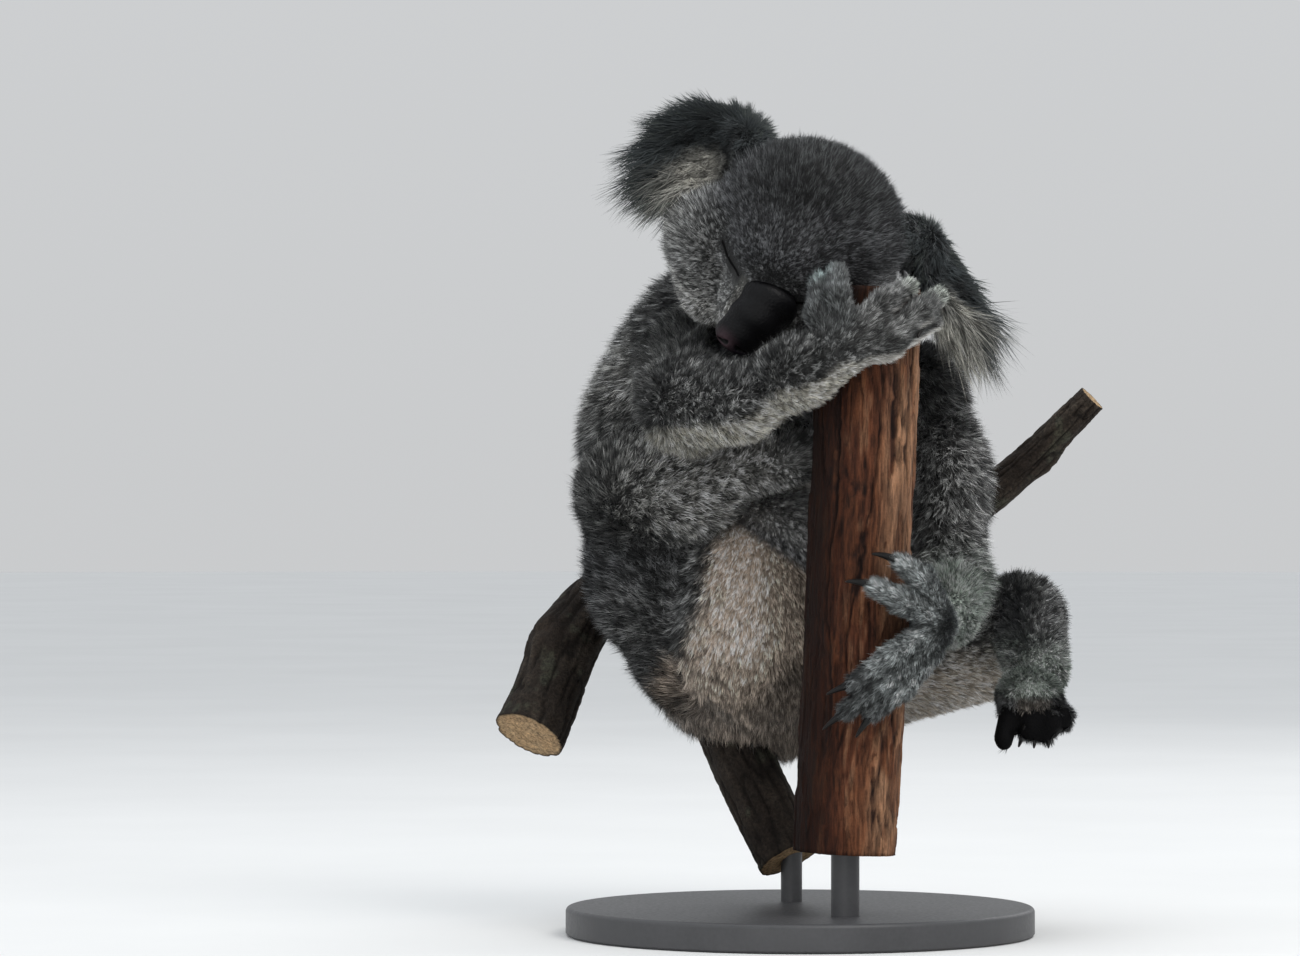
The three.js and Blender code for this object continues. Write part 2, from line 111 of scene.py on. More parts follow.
def f_blob(p, c, r, R=None):
    q = p - np.asarray(c, float)
    if R is not None:
        q = q @ R
    r = np.asarray(r, float)
    k0 = np.sqrt(np.sum((q / r) ** 2, -1))
    k1 = np.sqrt(np.sum((q / (r * r)) ** 2, -1))
    return k0 * (k0 - 1) / np.maximum(k1, 1e-9)


def f_cone(p, a, b, r1, r2):
    a, b = np.asarray(a, float), np.asarray(b, float)
    ba = b - a
    l2 = ba @ ba
    rr = r1 - r2
    a2 = l2 - rr * rr
    il2 = 1 / l2
    pa = p - a
    y = pa @ ba
    z = y - l2
    xx = pa * l2 - y[..., None] * ba
    x2 = np.sum(xx * xx, -1)
    y2, z2 = y * y * l2, z * z * l2
    k = np.sign(rr) * rr * rr * x2
    return np.where(
        np.sign(z) * a2 * z2 > k,
        np.sqrt(x2 + z2) * il2 - r2,
        np.where(np.sign(y) * a2 * y2 < k, np.sqrt(x2 + y2) * il2 - r1, (np.sqrt(x2 * a2 * il2) + y * rr) * il2 - r1),
    )


def smin(a, b, k):
    h = np.maximum(k - np.abs(a - b), 0) / k
    return np.minimum(a, b) - h * h * k * 0.25


def smax(a, b, k):
    return -smin(-a, -b, k)


def smooth(x, a, b):
    t = np.clip((x - a) / (b - a), 0, 1)
    return t * t * (3 - 2 * t)


# ---- primitives: (group, kind, args, flow). flow None: the group's own rule
PRIMS = []


def blob(g, c, r, R=None, flow=None):
    PRIMS.append((g, "b", (np.asarray(c, float), r, R), flow))


def cone(g, a, b, r1, r2, flow=None):
    a, b = np.asarray(a, float), np.asarray(b, float)
    PRIMS.append((g, "c", (a, b, r1, r2), unit(b - a) if flow is None else flow))


GROUPS = {  # name: [smoothing inside the group, coat depth]
    "head": [12, 8.0],
    "neck": [12, 13.0],
    "trunk": [24, 13.0],
    "upper_arm_R": [10, 12.0],
    "forearm_R": [12, 9.0],
    "hand_R": [5, 3.4],
    "upper_arm_L": [14, 12.0],
    "forearm_L": [10, 9.0],
    "hand_L": [5, 3.4],
    "thigh_R": [12, 12.0],
    "shank_R": [12, 9.5],
    "foot_R": [5, 3.4],
    "thigh_L": [12, 8.0],
    "shank_L": [10, 9.0],
    "foot_L": [5, 3.4],
    "ear_R": [3, 0.0],
    "ear_L": [3, 0.0],
}
GI = {g: i for i, g in enumerate(GROUPS)}

# head
blob("head", H(0, 3, 7), (65, 62, 57), HF)
for s in (-1, 1):
    blob("head", H(s * 49, 22, -23), (34, 38, 37), HF)
    blob("head", H(s * 34, 36, -46), (29, 29, 26), HF)
blob("head", H(0, 44, 8), (36, 38, 30), HF)
blob("head", H(0, 60, -24), (29, 31, 25), HF)
blob("head", H(0, 48, -46), (26, 30, 16), HF)
# neck and trunk
NECK_A, NECK_B = np.array([-14.0, 64, 368]), H(0, -18, -16)
cone("neck", NECK_A, NECK_B, 64, 54, flow=unit(NECK_A - NECK_B))
DOWN = np.array([0.0, 0, -1])
blob("trunk", (-40, 72, 317), (109, 68, 100))
blob("trunk", (4, 72, 326), (78, 58, 82))
blob("trunk", (-28, 84, 256), (108, 82, 92))
blob("trunk", (-19, 78, 196), (94, 82, 94))
blob("trunk", (-58, 74, 369), (59, 52, 70))
blob("trunk", (-22, 28, 212), (76, 70, 86))
# arms
cone("upper_arm_R", (-68, 28, 362), (-72, -58, 338), 42, 36)
cone("forearm_R", (-71, -74, 339), (-40, -100, 338), 36, 28)
cone("forearm_R", (-40, -100, 338), (-4, -126, 358), 27, 25)
cone("forearm_R", (-4, -126, 358), (22, -138, 370), 25, 20)
cone("upper_arm_L", (80, 84, 350), (98, 36, 232), 38, 31)
blob("upper_arm_L", (98, 60, 290), (34, 38, 50), flow=unit([18, -48, -118]))
cone("forearm_L", (99, 30, 220), (90, -66, 204), 30, 23)
# hands
HAND_R = [
    [(20, -138, 380), (8, -130, 392), (9, -112, 412)],
    [(26, -138, 384), (19, -132, 402), (20, -112, 419)],
    [(30, -139, 384), (48, -134, 400), (63, -122, 409)],
    [(52, -136, 380), (70, -126, 394), (82, -110, 404)],
    [(50, -132, 373), (64, -121, 383), (78, -117, 388)],
]
HAND_L = [
    [(82, -110, 212), (72, -120, 230), (60, -124, 239)],
    [(78, -114, 206), (60, -126, 216), (44, -130, 224)],
    [(76, -112, 197), (54, -128, 182), (31, -134, 166)],
    [(76, -112, 190), (50, -128, 168), (26, -132, 149)],
    [(78, -108, 184), (60, -122, 163), (42, -128, 148)],
]
blob("hand_R", (40, -136, 377), (25, 13, 17), flow=unit([1, 0.1, 0.35]))
blob("hand_L", (80, -96, 201), (17, 26, 19), flow=unit([-0.3, -1, 0]))
for g, digits, radii in (("hand_R", HAND_R, (10.4, 10, 8.4)), ("hand_L", HAND_L, (10.6, 10, 8.6))):
    for d in digits:
        for i in (0, 1):
            cone(g, d[i], d[i + 1], radii[i], radii[i + 1])
# legs
cone("thigh_R", (-60, 50, 192), (-110, 8, 280), 58, 40)
blob("thigh_R", (-87, 32, 230), (57, 48, 62), flow=unit([-50, -42, 88]))
blob("shank_R", (-80, -14, 283), (50, 30, 38), flow=unit([104, -28, 15]))
cone("shank_R", (-108, 2, 288), (-4, -26, 303), 32, 19)
cone("thigh_L", (24, 95, 171), (136, 84, 187), 56, 42)
cone("shank_L", (148, 72, 204), (152, 0, 170), 30, 24)
# feet
cone("foot_R", (-2, -31, 306), (38, -31, 326), 17, 13)
FOOT_R = [
    [(10, -36, 322), (4, -47, 336), 10, 9.5],
    [(36, -34, 334), (50, -37, 346), 8.6, 7.2],
    [(42, -34, 328), (61, -40, 333), 8.6, 7.2],
    [(40, -34, 320), (59, -40, 319), 8.6, 7.2],
]
FOOT_L = [
    [(133, -44, 149), (127, -53, 129), 10, 8.5],
    [(146, -46, 146), (144, -56, 135), 9, 8.5],
    [(154, -46, 146), (154, -56, 135), 9, 8.5],
    [(161, -40, 148), (163, -51, 139), 9, 8],
]
blob("foot_L", (145, -24, 153), (23, 33, 21), flow=unit([0.05, -1, -0.3]))
blob("foot_L", (146, -48, 141), (21, 13, 16), flow=unit([0.05, -0.6, -0.8]))
for g, digits in (("foot_R", FOOT_R), ("foot_L", FOOT_L)):
    for a, b, r1, r2 in digits:
        cone(g, a, b, r1, r2)

# ears: the bare shell under the long hair. The solids' ear reaches the hair tips; the shell is cupped.
EAR = {
    "R": dict(c=np.array([-70.5, 0.0, 493.0]), F=disc_frame((-0.92, 0, -0.39), (-0.15, -1, -0.1)), half=(56, 18, 43)),
    "L": dict(c=np.array([96.0, 18.0, 405.5]), F=disc_frame((0.49, 0.1, -0.87), (0.8, -0.45, 0.42)), half=(60, 19, 38)),
}
for side, e in EAR.items():
    # the shell's own centre sits nearer the skull than the fringe's
    e["sc"] = e["c"] - e["F"][:, 0] * 15
    e["sr"] = (33.0, 12.0, 29.0)
EAR["L"]["sc"] = EAR["L"]["sc"] + EAR["L"]["F"][:, 1] * 5 - EAR["L"]["F"][:, 2] * 3


def ear_field(p, side):
    e = EAR[side]
    a, n = e["F"][:, 0], e["F"][:, 1]
    outer = f_blob(p, e["sc"] - n * 3, e["sr"], e["F"])
    inner = f_blob(p, e["sc"] + n * 4.5, (e["sr"][0] - 1.5, 12.0, e["sr"][2] - 1.5), e["F"])
    shell = smax(outer, -inner, 2.0)
    root = f_cone(p, e["sc"] - a * 22 - n * 3, H(-38 if side == "R" else 38, -4, 22), 11, 16)
    return smin(shell, root, 9.0)


POST_A, POST_B, POST_R = np.array([26.0, -85, 58]), np.array([42.5, -85, 411]), 34.5


def f_post(p, r=POST_R):
    ax = unit(POST_B - POST_A)
    q = p - POST_A
    t = q @ ax
    rad = np.linalg.norm(q - t[..., None] * ax, axis=-1) - r
    return np.maximum(rad, t - np.linalg.norm(POST_B - POST_A))


def catmull(points, n, alpha=0.5):
    """Points along a centripetal Catmull-Rom curve, evenly spaced, as the solids' branch runs."""
    P = np.array(points, float)
    P = np.vstack([2 * P[0] - P[1], P, 2 * P[-1] - P[-2]])
    out = []
    for i in range(1, len(P) - 2):
        p0, p1, p2, p3 = P[i - 1 : i + 3]
        t0 = 0
        t1 = t0 + np.linalg.norm(p1 - p0) ** alpha
        t2 = t1 + np.linalg.norm(p2 - p1) ** alpha
        t3 = t2 + np.linalg.norm(p3 - p2) ** alpha
        t = np.linspace(t1, t2, 40, endpoint=False)[:, None]
        A1 = (t1 - t) / (t1 - t0) * p0 + (t - t0) / (t1 - t0) * p1
        A2 = (t2 - t) / (t2 - t1) * p1 + (t - t1) / (t2 - t1) * p2
        A3 = (t3 - t) / (t3 - t2) * p2 + (t - t2) / (t3 - t2) * p3
        B1 = (t2 - t) / (t2 - t0) * A1 + (t - t0) / (t2 - t0) * A2
        B2 = (t3 - t) / (t3 - t1) * A2 + (t - t1) / (t3 - t1) * A3
        out.append((t2 - t) / (t2 - t1) * B1 + (t - t1) / (t2 - t1) * B2)
    out.append(P[-2][None])
    C = np.vstack(out)
    s = np.r_[0, np.cumsum(np.linalg.norm(np.diff(C, axis=0), axis=1))]
    u = np.linspace(0, s[-1], n)
    return np.stack([np.interp(u, s, C[:, i]) for i in range(3)], 1)


BRANCH_PATH = [(-174.7, 70, 124.4), (-131, 122, 209), (-30, 178, 238), (68, 173, 240), (138, 150, 287), (197.5, 135, 345)]
BRANCH_R = (24.5, 10.5)
STUB_PATH = [(-70, 165, 186), (-38.6, 70, 113.2), (-5.4, 40, 45.9)]
STUB_R = (20, 22)


def f_run(p, path, r, n=14, extra=0.0):
    """Distance to a bent length of wood."""
    C = catmull(path, n)
    R = np.linspace(r[0], r[1], n) + extra
    d = None
    for i in range(n - 1):
        e = f_cone(p, C[i], C[i + 1], R[i], R[i + 1])
        d = e if d is None else np.minimum(d, e)
    return d


def prim_fields(p):
    return np.stack([f_blob(p, *a) if k == "b" else f_cone(p, *a) for _, k, a, _ in PRIMS], -1)


HALLUX = (np.array([132.0, -46, 145]), np.array([127.0, -54, 128.0]), 6.2, 5.8)
SOLE_PADS = [((146, -55, 141), (8, 4.5, 6)), ((145, -56, 131.5), (8.5, 4.5, 5)), ((157, -56, 138), (6.5, 6, 7.5)), ((165, -50, 141), (5.5, 6.5, 8)), ((153, -54, 130.5), (5.5, 5, 5)), ((127, -57.5, 126.5), (5.2, 4.5, 6.2))]


def coat_depth(name, p):
    d = GROUPS[name][1]
    if name == "head":  # shortest on the muzzle, deepest on cheeks and crown
        r = np.linalg.norm(p - H(0, 78, -16), axis=-1)
        return 3.0 + 6.5 * smooth(r, 22, 105)
    if name == "trunk":  # short on the belly
        return 13.0 - 6.0 * smooth(np.linalg.norm((p - np.array([-20.0, -30, 205])) / np.array([1.0, 0.8, 1.1]), axis=-1), 95, 55)
    if name == "forearm_R":
        return 5.5 + 4.5 * smooth(np.linalg.norm(p - np.array([30.0, -138, 372]), axis=-1), 20, 80)
    if name == "forearm_L":
        return 5.5 + 4.5 * smooth(np.linalg.norm(p - np.array([86.0, -80, 202]), axis=-1), 15, 75)
    if name == "shank_R":
        return 5.5 + 4.5 * smooth(np.linalg.norm(p - np.array([0.0, -28, 304]), axis=-1), 15, 80)
    if name == "shank_L":
        return 5.5 + 4.0 * smooth(np.linalg.norm(p - np.array([148.0, -6, 162]), axis=-1), 15, 60)
    return d


def group_fields(p, inset=True):
    """Each group's field at p, set in by the coat's depth there."""
    out = {}
    for g, k, a, _ in PRIMS:
        d = f_blob(p, *a) if k == "b" else f_cone(p, *a)
        out[g] = d if g not in out else smin(out[g], d, GROUPS[g][0])
    if inset:
        for g in out:
            out[g] = out[g] + coat_depth(g, p)
    out["ear_R"] = ear_field(p, "R")
    out["ear_L"] = ear_field(p, "L")
    return out


def near(p, c, r):
    t = np.clip(1 - np.linalg.norm(p - np.asarray(c, float), axis=-1) / r, 0, 1)
    return t * t * (3 - 2 * t)


def face_details(f, p):
    """Closed lids, the slit between them, a groove below the nose and the mouth's line, on the head's own field."""
    q = (p - HEAD_C) @ HF  # left, forward, up
    for s in (-1, 1):
        # the two lids' low dome over the ball
        f = smin(f, f_blob(p, *LID_DOME[s]), 5.0)
        # the closed slit between the lids, widest a third of the way along: a thin curved groove
        rad, t = slit_distance(p, s)
        f = smax(f, -(rad - (0.2 + 0.75 * np.sin(np.pi * np.clip(t, 0.02, 0.98) ** 0.7) ** 0.8)), 0.3)
    # muzzle groove below the nose and the mouth's line
    groove = f_cone(p, H(0, 92, -44), H(0, 84, -56), 1.6, 1.6)
    f = smax(f, -groove, 1.6)
    x = np.abs(q[..., 0])
    line = np.sqrt((q[..., 2] - (-57.5 + 0.006 * x**2)) ** 2 * 0.9 + np.maximum(0, np.maximum(60 - q[..., 1], x - 27)) ** 2)
    f = smax(f, -(line - 1.5), 2.0)
    return f


def skin_field(p, detail=True):
    g = group_fields(p)
    head = g["head"]
    if detail:
        m = np.linalg.norm(p - H(0, 60, -16), axis=-1) < 75
        if m.any():
            head = head.copy()
            head[m] = face_details(head[m], p[m])
    f = smin(g["trunk"], g["neck"], 42.0)
    f = smin(f, head, 4 + 24 * near(p, NECK_B, 95))
    arm = smin(smin(g["upper_arm_R"], g["forearm_R"], 14.0), g["hand_R"], 8.0)
    f = smin(f, arm, 3 + 26 * near(p, (-64, 40, 362), 80))
    arm = smin(smin(g["upper_arm_L"], g["forearm_L"], 14.0), g["hand_L"], 8.0)
    f = smin(f, arm, 3 + 26 * near(p, (76, 84, 346), 85))
    leg = smin(smin(g["thigh_R"], g["shank_R"], 16.0), g["foot_R"], 8.0)
    f = smin(f, leg, 3 + 28 * near(p, (-55, 55, 185), 95))
    foot = g["foot_L"]
    if detail:  # the bare sole's pads
        for c, r in SOLE_PADS:
            foot = smin(foot, f_blob(p, c, r), 1.6)
        foot = smin(foot, f_cone(p, *HALLUX), 2.5)
    leg = smin(smin(g["thigh_L"], g["shank_L"], 16.0), foot, 8.0)
    f = smin(f, leg, 3 + 28 * near(p, (30, 92, 178), 95))
    f = smin(f, g["ear_R"], 5.0)
    f = smin(f, g["ear_L"], 5.0)
    # the flesh flattens where it meets the wood
    f = smax(f, -(f_post(p) - 1.5), 2.5)
    m = p[..., 1] > 20
    if m.any():
        w = np.minimum(f_run(p[m], BRANCH_PATH, BRANCH_R), f_run(p[m], STUB_PATH, STUB_R, 7))
        f[m] = smax(f[m], -(w - 1.5), 3.0)
    return f


def gradient(fn, p, h=0.35):
    """Tetrahedral difference: four samples a point."""
    k = np.array([[1, -1, -1], [-1, -1, 1], [-1, 1, -1], [1, 1, 1]], float)
    return sum(k[i] * fn(p + h * k[i])[..., None] for i in range(4)) / (4 * h)


def outer_head(p):
    d = None
    for g, k, a, _ in PRIMS:
        if g == "head":
            e = f_blob(p, *a)
            d = e if d is None else smin(d, e, 12)
    return d


EYE_AT = (26.0, 52.9, -7.7)  # an eye's middle in the head: to the side, forward, up
# the closed lids' line from its outer end to its inner end, in the same frame
LID_LINE = [(39.7, 51.0, -3.3), (37.1, 53.9, -3.8), (34.6, 56.8, -4.4), (32.2, 59.3, -5.2), (28.3, 62.4, -5.9), (23.9, 65.6, -6.3), (20.3, 68.7, -6.5), (18.3, 70.9, -6.5)]
EYE_C, EYE_LINE, LID_DOME = {}, {}, {}


def lidded(p, s):
    """The head's skin with the lids' dome on it, before the slit."""
    return smin(outer_head(p) + coat_depth("head", p), f_blob(p, *LID_DOME[s]), 5.0)


for s in (-1, 1):
    EYE_C[s] = H(s * EYE_AT[0], EYE_AT[1], EYE_AT[2])
    # the lids' low dome lies along their line and faces forward and out
    n = unit(HF @ np.array([s * 0.7, 0.71, 0.03]))
    a = HF @ np.array([-s * 0.7, 0.71, -0.05])
    a = unit(a - n * (a @ n))
    LID_DOME[s] = (H(s * 27.5, 51.5, -7.0), (16.0, 8.8, 9.5), np.stack([a, n, np.cross(n, a)], 1))
    line = catmull([H(s * l, f, u) for l, f, u in LID_LINE], 17)
    for _ in range(4):  # onto the skin with the lids' dome on it
        f, g = lidded(line, s), gradient(lambda q: lidded(q, s), line)
        line = line - g * (f / np.sum(g * g, 1))[:, None]
    EYE_LINE[s] = line


def slit_distance(p, s):
    """Distance from the closed lids' line, and how far along it from 0 to 1."""
    L = EYE_LINE[s]
    best, at = np.full(p.shape[:-1], 1e9), np.zeros(p.shape[:-1])
    for i in range(len(L) - 1):
        a, d = L[i], L[i + 1] - L[i]
        t = np.clip(((p - a) @ d) / (d @ d), 0, 1)
        r = np.linalg.norm(p - a - t[..., None] * d, axis=-1)
        at = np.where(r < best, (i + t) / (len(L) - 1), at)
        best = np.minimum(best, r)
    return best, at


def slit_point(t, s):
    L = EYE_LINE[s]
    return np.stack([np.interp(t, np.linspace(0, 1, len(L)), L[:, i]) for i in range(3)], -1)


def chunks(fn, p, size=60000):
    out = [fn(p[i : i + size]) for i in range(0, len(p), size)]
    return np.concatenate(out)


# =====================================================================================
# 2. Polygonising a field: surface nets over a band of cells
# =====================================================================================
def surface_nets(fn, lo, hi, h, coarse=4, slack=1.0):
    """Vertices and quads of the field's zero level. Only cells near the surface are sampled finely."""
    lo = np.asarray(lo, float)
    n = np.ceil((np.asarray(hi, float) - lo) / (h * coarse)).astype(int)
    ax = [lo[i] + h * coarse * np.arange(n[i] + 1) for i in range(3)]
    G = np.stack(np.meshgrid(*ax, indexing="ij"), -1).reshape(-1, 3)
    C = chunks(fn, G).reshape(n + 1)
    N = n * coarse + 1
    near_c = np.abs(C) < h * coarse * (1.75 + slack * 0.5)
    # a coarse cell is fine-sampled if any of its corners is near
    cell = np.zeros(n, bool)
    for dx in (0, 1):
        for dy in (0, 1):
            for dz in (0, 1):
                cell |= near_c[dx : dx + n[0], dy : dy + n[1], dz : dz + n[2]]
    sign = np.where(C < 0, -1.0, 1.0).astype(np.float32)
    F = np.repeat(np.repeat(np.repeat(sign, coarse, 0), coarse, 1), coarse, 2)[: N[0], : N[1], : N[2]] * 99
    mask = np.zeros(N, bool)
    ci = np.argwhere(cell)
    off = np.stack(np.meshgrid(*[np.arange(coarse + 1)] * 3, indexing="ij"), -1).reshape(-1, 3)
    for o in off:
        q = ci * coarse + o
        mask[q[:, 0], q[:, 1], q[:, 2]] = True
    idx = np.argwhere(mask)
    vals = chunks(fn, lo + idx * h)
    F[idx[:, 0], idx[:, 1], idx[:, 2]] = vals
    s = F < 0
    m = [k - 1 for k in N]
    count = np.zeros(m, np.int8)
    for dx in (0, 1):
        for dy in (0, 1):
            for dz in (0, 1):
                count += s[dx : dx + m[0], dy : dy + m[1], dz : dz + m[2]]
    act = np.argwhere((count > 0) & (count < 8))
    corner = np.array([[a, b, c] for a in (0, 1) for b in (0, 1) for c in (0, 1)])
    cv = np.stack([F[act[:, 0] + c[0], act[:, 1] + c[1], act[:, 2] + c[2]] for c in corner], 1).astype(float)
    total, cnt = np.zeros((len(act), 3)), np.zeros(len(act))
    for i in range(8):
        for j in range(i + 1, 8):
            if np.abs(corner[i] - corner[j]).sum() == 1:
                a, b = cv[:, i], cv[:, j]
                x = (a < 0) != (b < 0)
                t = np.where(x, a / np.where(x, a - b, 1), 0)
                pt = corner[i] + t[:, None] * (corner[j] - corner[i])
                total += pt * x[:, None]
                cnt += x
    V = lo + (act + total / cnt[:, None]) * h
    index = np.full(m, -1, np.int32)
    index[act[:, 0], act[:, 1], act[:, 2]] = np.arange(len(act))
    quads = []
    for a in range(3):
        b, c = (a + 1) % 3, (a + 2) % 3
        d = np.zeros(3, int)
        d[a] = 1
        sa = s[: N[0] - d[0], : N[1] - d[1], : N[2] - d[2]]
        sb = s[d[0] :, d[1] :, d[2] :]
        e = np.argwhere(sa != sb)
        e = e[(e[:, b] > 0) & (e[:, c] > 0) & (e[:, b] < N[b] - 1) & (e[:, c] < N[c] - 1)]
        inside = s[e[:, 0], e[:, 1], e[:, 2]]
        eb, ec = np.zeros(3, int), np.zeros(3, int)
        eb[b], ec[c] = 1, 1
        q = [e - eb - ec, e - ec, e, e - eb]
        ids = np.stack([index[v[:, 0], v[:, 1], v[:, 2]] for v in q], 1)
        ids[~inside] = ids[~inside][:, ::-1]
        quads.append(ids)
    Q = np.concatenate(quads)
    return V, Q[(Q >= 0).all(1)]


def settle(fn, V, steps=2, cap=1.2):
    """Moves the vertices onto the field's zero level."""
    for _ in range(steps):
        f = chunks(fn, V)
        g = chunks(lambda q: gradient(fn, q), V)
        g2 = np.maximum(np.sum(g * g, -1), 0.05)
        step = -(f / g2)[:, None] * g
        n = np.linalg.norm(step, axis=1, keepdims=True)
        V = V + step * np.minimum(1, cap / np.maximum(n, 1e-9))
    return V


def drop_loose(V, Q):
    """Keeps the largest connected body."""
    lab = np.arange(len(V))
    while True:
        old = lab.copy()
        m = lab[Q].min(1)
        for j in range(4):
            np.minimum.at(lab, Q[:, j], m)
        lab = lab[lab]
        if (lab == old).all():
            break
    big = np.bincount(lab[Q[:, 0]]).argmax()
    Q = Q[lab[Q[:, 0]] == big]
    used = np.unique(Q)
    re = np.full(len(V), -1)
    re[used] = np.arange(len(used))
    return V[used], re[Q]


def vertex_normals(V, Q):
    if Q.shape[1] == 4:
        fn = np.cross(V[Q[:, 2]] - V[Q[:, 0]], V[Q[:, 3]] - V[Q[:, 1]])
    else:
        fn = np.cross(V[Q[:, 1]] - V[Q[:, 0]], V[Q[:, 2]] - V[Q[:, 0]])
    N = np.zeros_like(V)
    for j in range(Q.shape[1]):
        for a in range(3):
            N[:, a] += np.bincount(Q[:, j], fn[:, a], len(V))
    return unit(N)


# =====================================================================================
# 3. Blender meshes from arrays
# =====================================================================================
def new_mesh(name, V, faces, smooth_shade=True, color=None, uv=None, normals=None, mat=None, material_index=None, attr="coat"):
    """faces: a list of (n, k) index arrays, or one. V in millimetres."""
    if isinstance(faces, np.ndarray):
        faces = [faces]
    me = bpy.data.meshes.new(name)
    me.vertices.add(len(V))
    me.vertices.foreach_set("co", (np.asarray(V) * MM).astype(np.float32).ravel())
    loops = np.concatenate([f.ravel() for f in faces]).astype(np.int32)
    sizes = np.concatenate([np.full(len(f), f.shape[1]) for f in faces])
    me.loops.add(len(loops))
    me.loops.foreach_set("vertex_index", loops)
    me.polygons.add(len(sizes))
    me.polygons.foreach_set("loop_start", np.r_[0, np.cumsum(sizes)[:-1]].astype(np.int32))
    if smooth_shade:
        me.polygons.foreach_set("use_smooth", np.ones(len(sizes), bool))
    if material_index is not None:
        me.polygons.foreach_set("material_index", material_index.astype(np.int32))
    me.update(calc_edges=True)
    if color is not None:
        at = me.color_attributes.new(attr, "FLOAT_COLOR", "POINT")
        c = np.ones((len(V), 4), np.float32)
        c[:, : color.shape[1]] = color
        at.data.foreach_set("color", c.ravel())
    if uv is not None:
        layer = me.uv_layers.new(name="OFBake")
        layer.data.foreach_set("uv", uv[loops].astype(np.float32).ravel())
    if normals is not None:
        at = me.attributes.new("custom_normal", "FLOAT_VECTOR", "POINT")
        at.data.foreach_set("vector", normals.astype(np.float32).ravel())
    ob = bpy.data.objects.new(name, me)
    bpy.context.scene.collection.objects.link(ob)
    if mat is not None:
        for m in mat if isinstance(mat, (list, tuple)) else [mat]:
            me.materials.append(m)
    return ob


# =====================================================================================
# 4. Noise in numpy, for locks and markings
# =====================================================================================
def hash3(i, seed):
    """Uniform numbers from integer lattice points."""
    x = i[..., 0].astype(np.int64) * 73856093 ^ i[..., 1].astype(np.int64) * 19349663 ^ i[..., 2].astype(np.int64) * 83492791
    x = (x ^ (seed * 2654435761)) & 0xFFFFFFFF
    x = ((x ^ (x >> 15)) * 2246822519) & 0xFFFFFFFF
    x = ((x ^ (x >> 13)) * 3266489917) & 0xFFFFFFFF
    return ((x ^ (x >> 16)) & 0xFFFFFF) / float(0xFFFFFF)


def value_noise(p, scale, seed):
    """Smooth noise from 0 to 1."""
    q = p / scale
    i = np.floor(q).astype(np.int64)
    f = q - i
    f = f * f * (3 - 2 * f)
    r = 0
    for a in (0, 1):
        for b in (0, 1):
            for c in (0, 1):
                w = (f[..., 0] if a else 1 - f[..., 0]) * (f[..., 1] if b else 1 - f[..., 1]) * (f[..., 2] if c else 1 - f[..., 2])
                r = r + w * hash3(i + np.array([a, b, c]), seed)
    return r


def fbm(p, scale, seed, n=3):
    return sum(value_noise(p, scale / 2**k, seed + 7 * k) / 2**k for k in range(n)) / sum(1 / 2**k for k in range(n))


def worley(p, cell, seed):
    """Nearest jittered centre: its place and an integer id per point."""
    i0 = np.floor(p / cell).astype(np.int64)
    best = np.full(len(p), 1e18)
    centre = np.zeros_like(p)
    ident = np.zeros((len(p), 3), np.int64)
    for a in (-1, 0, 1):
        for b in (-1, 0, 1):
            for c in (-1, 0, 1):
                j = i0 + np.array([a, b, c])
                pt = (j + np.stack([hash3(j, seed + k) for k in (1, 2, 3)], -1)) * cell
                d = np.sum((pt - p) ** 2, -1)
                m = d < best
                best[m] = d[m]
                centre[m] = pt[m]
                ident[m] = j[m]
    return centre, ident, np.sqrt(best)


def refine(V, T, inside):
    """Splits every triangle edge whose middle is inside the region; neighbours are split to match."""
    E = np.sort(np.concatenate([T[:, [0, 1]], T[:, [1, 2]], T[:, [2, 0]]]), 1)
    key = E[:, 0].astype(np.int64) * len(V) + E[:, 1]
    uniq, inv = np.unique(key, return_inverse=True)
    a, b = uniq // len(V), uniq % len(V)
    mid = (V[a] + V[b]) / 2
    mark = inside(mid)
    new = np.full(len(uniq), -1)
    new[mark] = len(V) + np.arange(mark.sum())
    m = new[inv].reshape(3, -1).T  # per triangle: the new vertex on edges 01, 12, 20
    V = np.vstack([V, mid[mark]])
    n = (m >= 0).sum(1)
    out = [T[n == 0]]
    t, e = T[n == 3], m[n == 3]
    out += [
        np.stack([t[:, 0], e[:, 0], e[:, 2]], 1),
        np.stack([e[:, 0], t[:, 1], e[:, 1]], 1),
        np.stack([e[:, 2], e[:, 1], t[:, 2]], 1),
        e,
    ]
    for k in range(3):
        i, j, l = k, (k + 1) % 3, (k + 2) % 3
        s = (n == 1) & (m[:, i] >= 0)  # one split edge, i to j
        t, e = T[s], m[s, i]
        out += [np.stack([t[:, i], e, t[:, l]], 1), np.stack([e, t[:, j], t[:, l]], 1)]
        s = (n == 2) & (m[:, i] < 0)  # edges jl and li split
        t, e1, e2 = T[s], m[s, j], m[s, l]
        out += [
            np.stack([t[:, l], e2, e1], 1),
            np.stack([e2, t[:, i], t[:, j]], 1),
            np.stack([e2, t[:, j], e1], 1),
        ]
    return V, np.concatenate([o for o in out if len(o)])


def to_triangles(V, Q):
    """Quads cut along the shorter diagonal."""
    d1 = np.linalg.norm(V[Q[:, 0]] - V[Q[:, 2]], axis=1)
    d2 = np.linalg.norm(V[Q[:, 1]] - V[Q[:, 3]], axis=1)
    a, b = Q[d1 <= d2], Q[d1 > d2]
    return np.concatenate([a[:, [0, 1, 2]], a[:, [0, 2, 3]], b[:, [0, 1, 3]], b[:, [1, 2, 3]]])


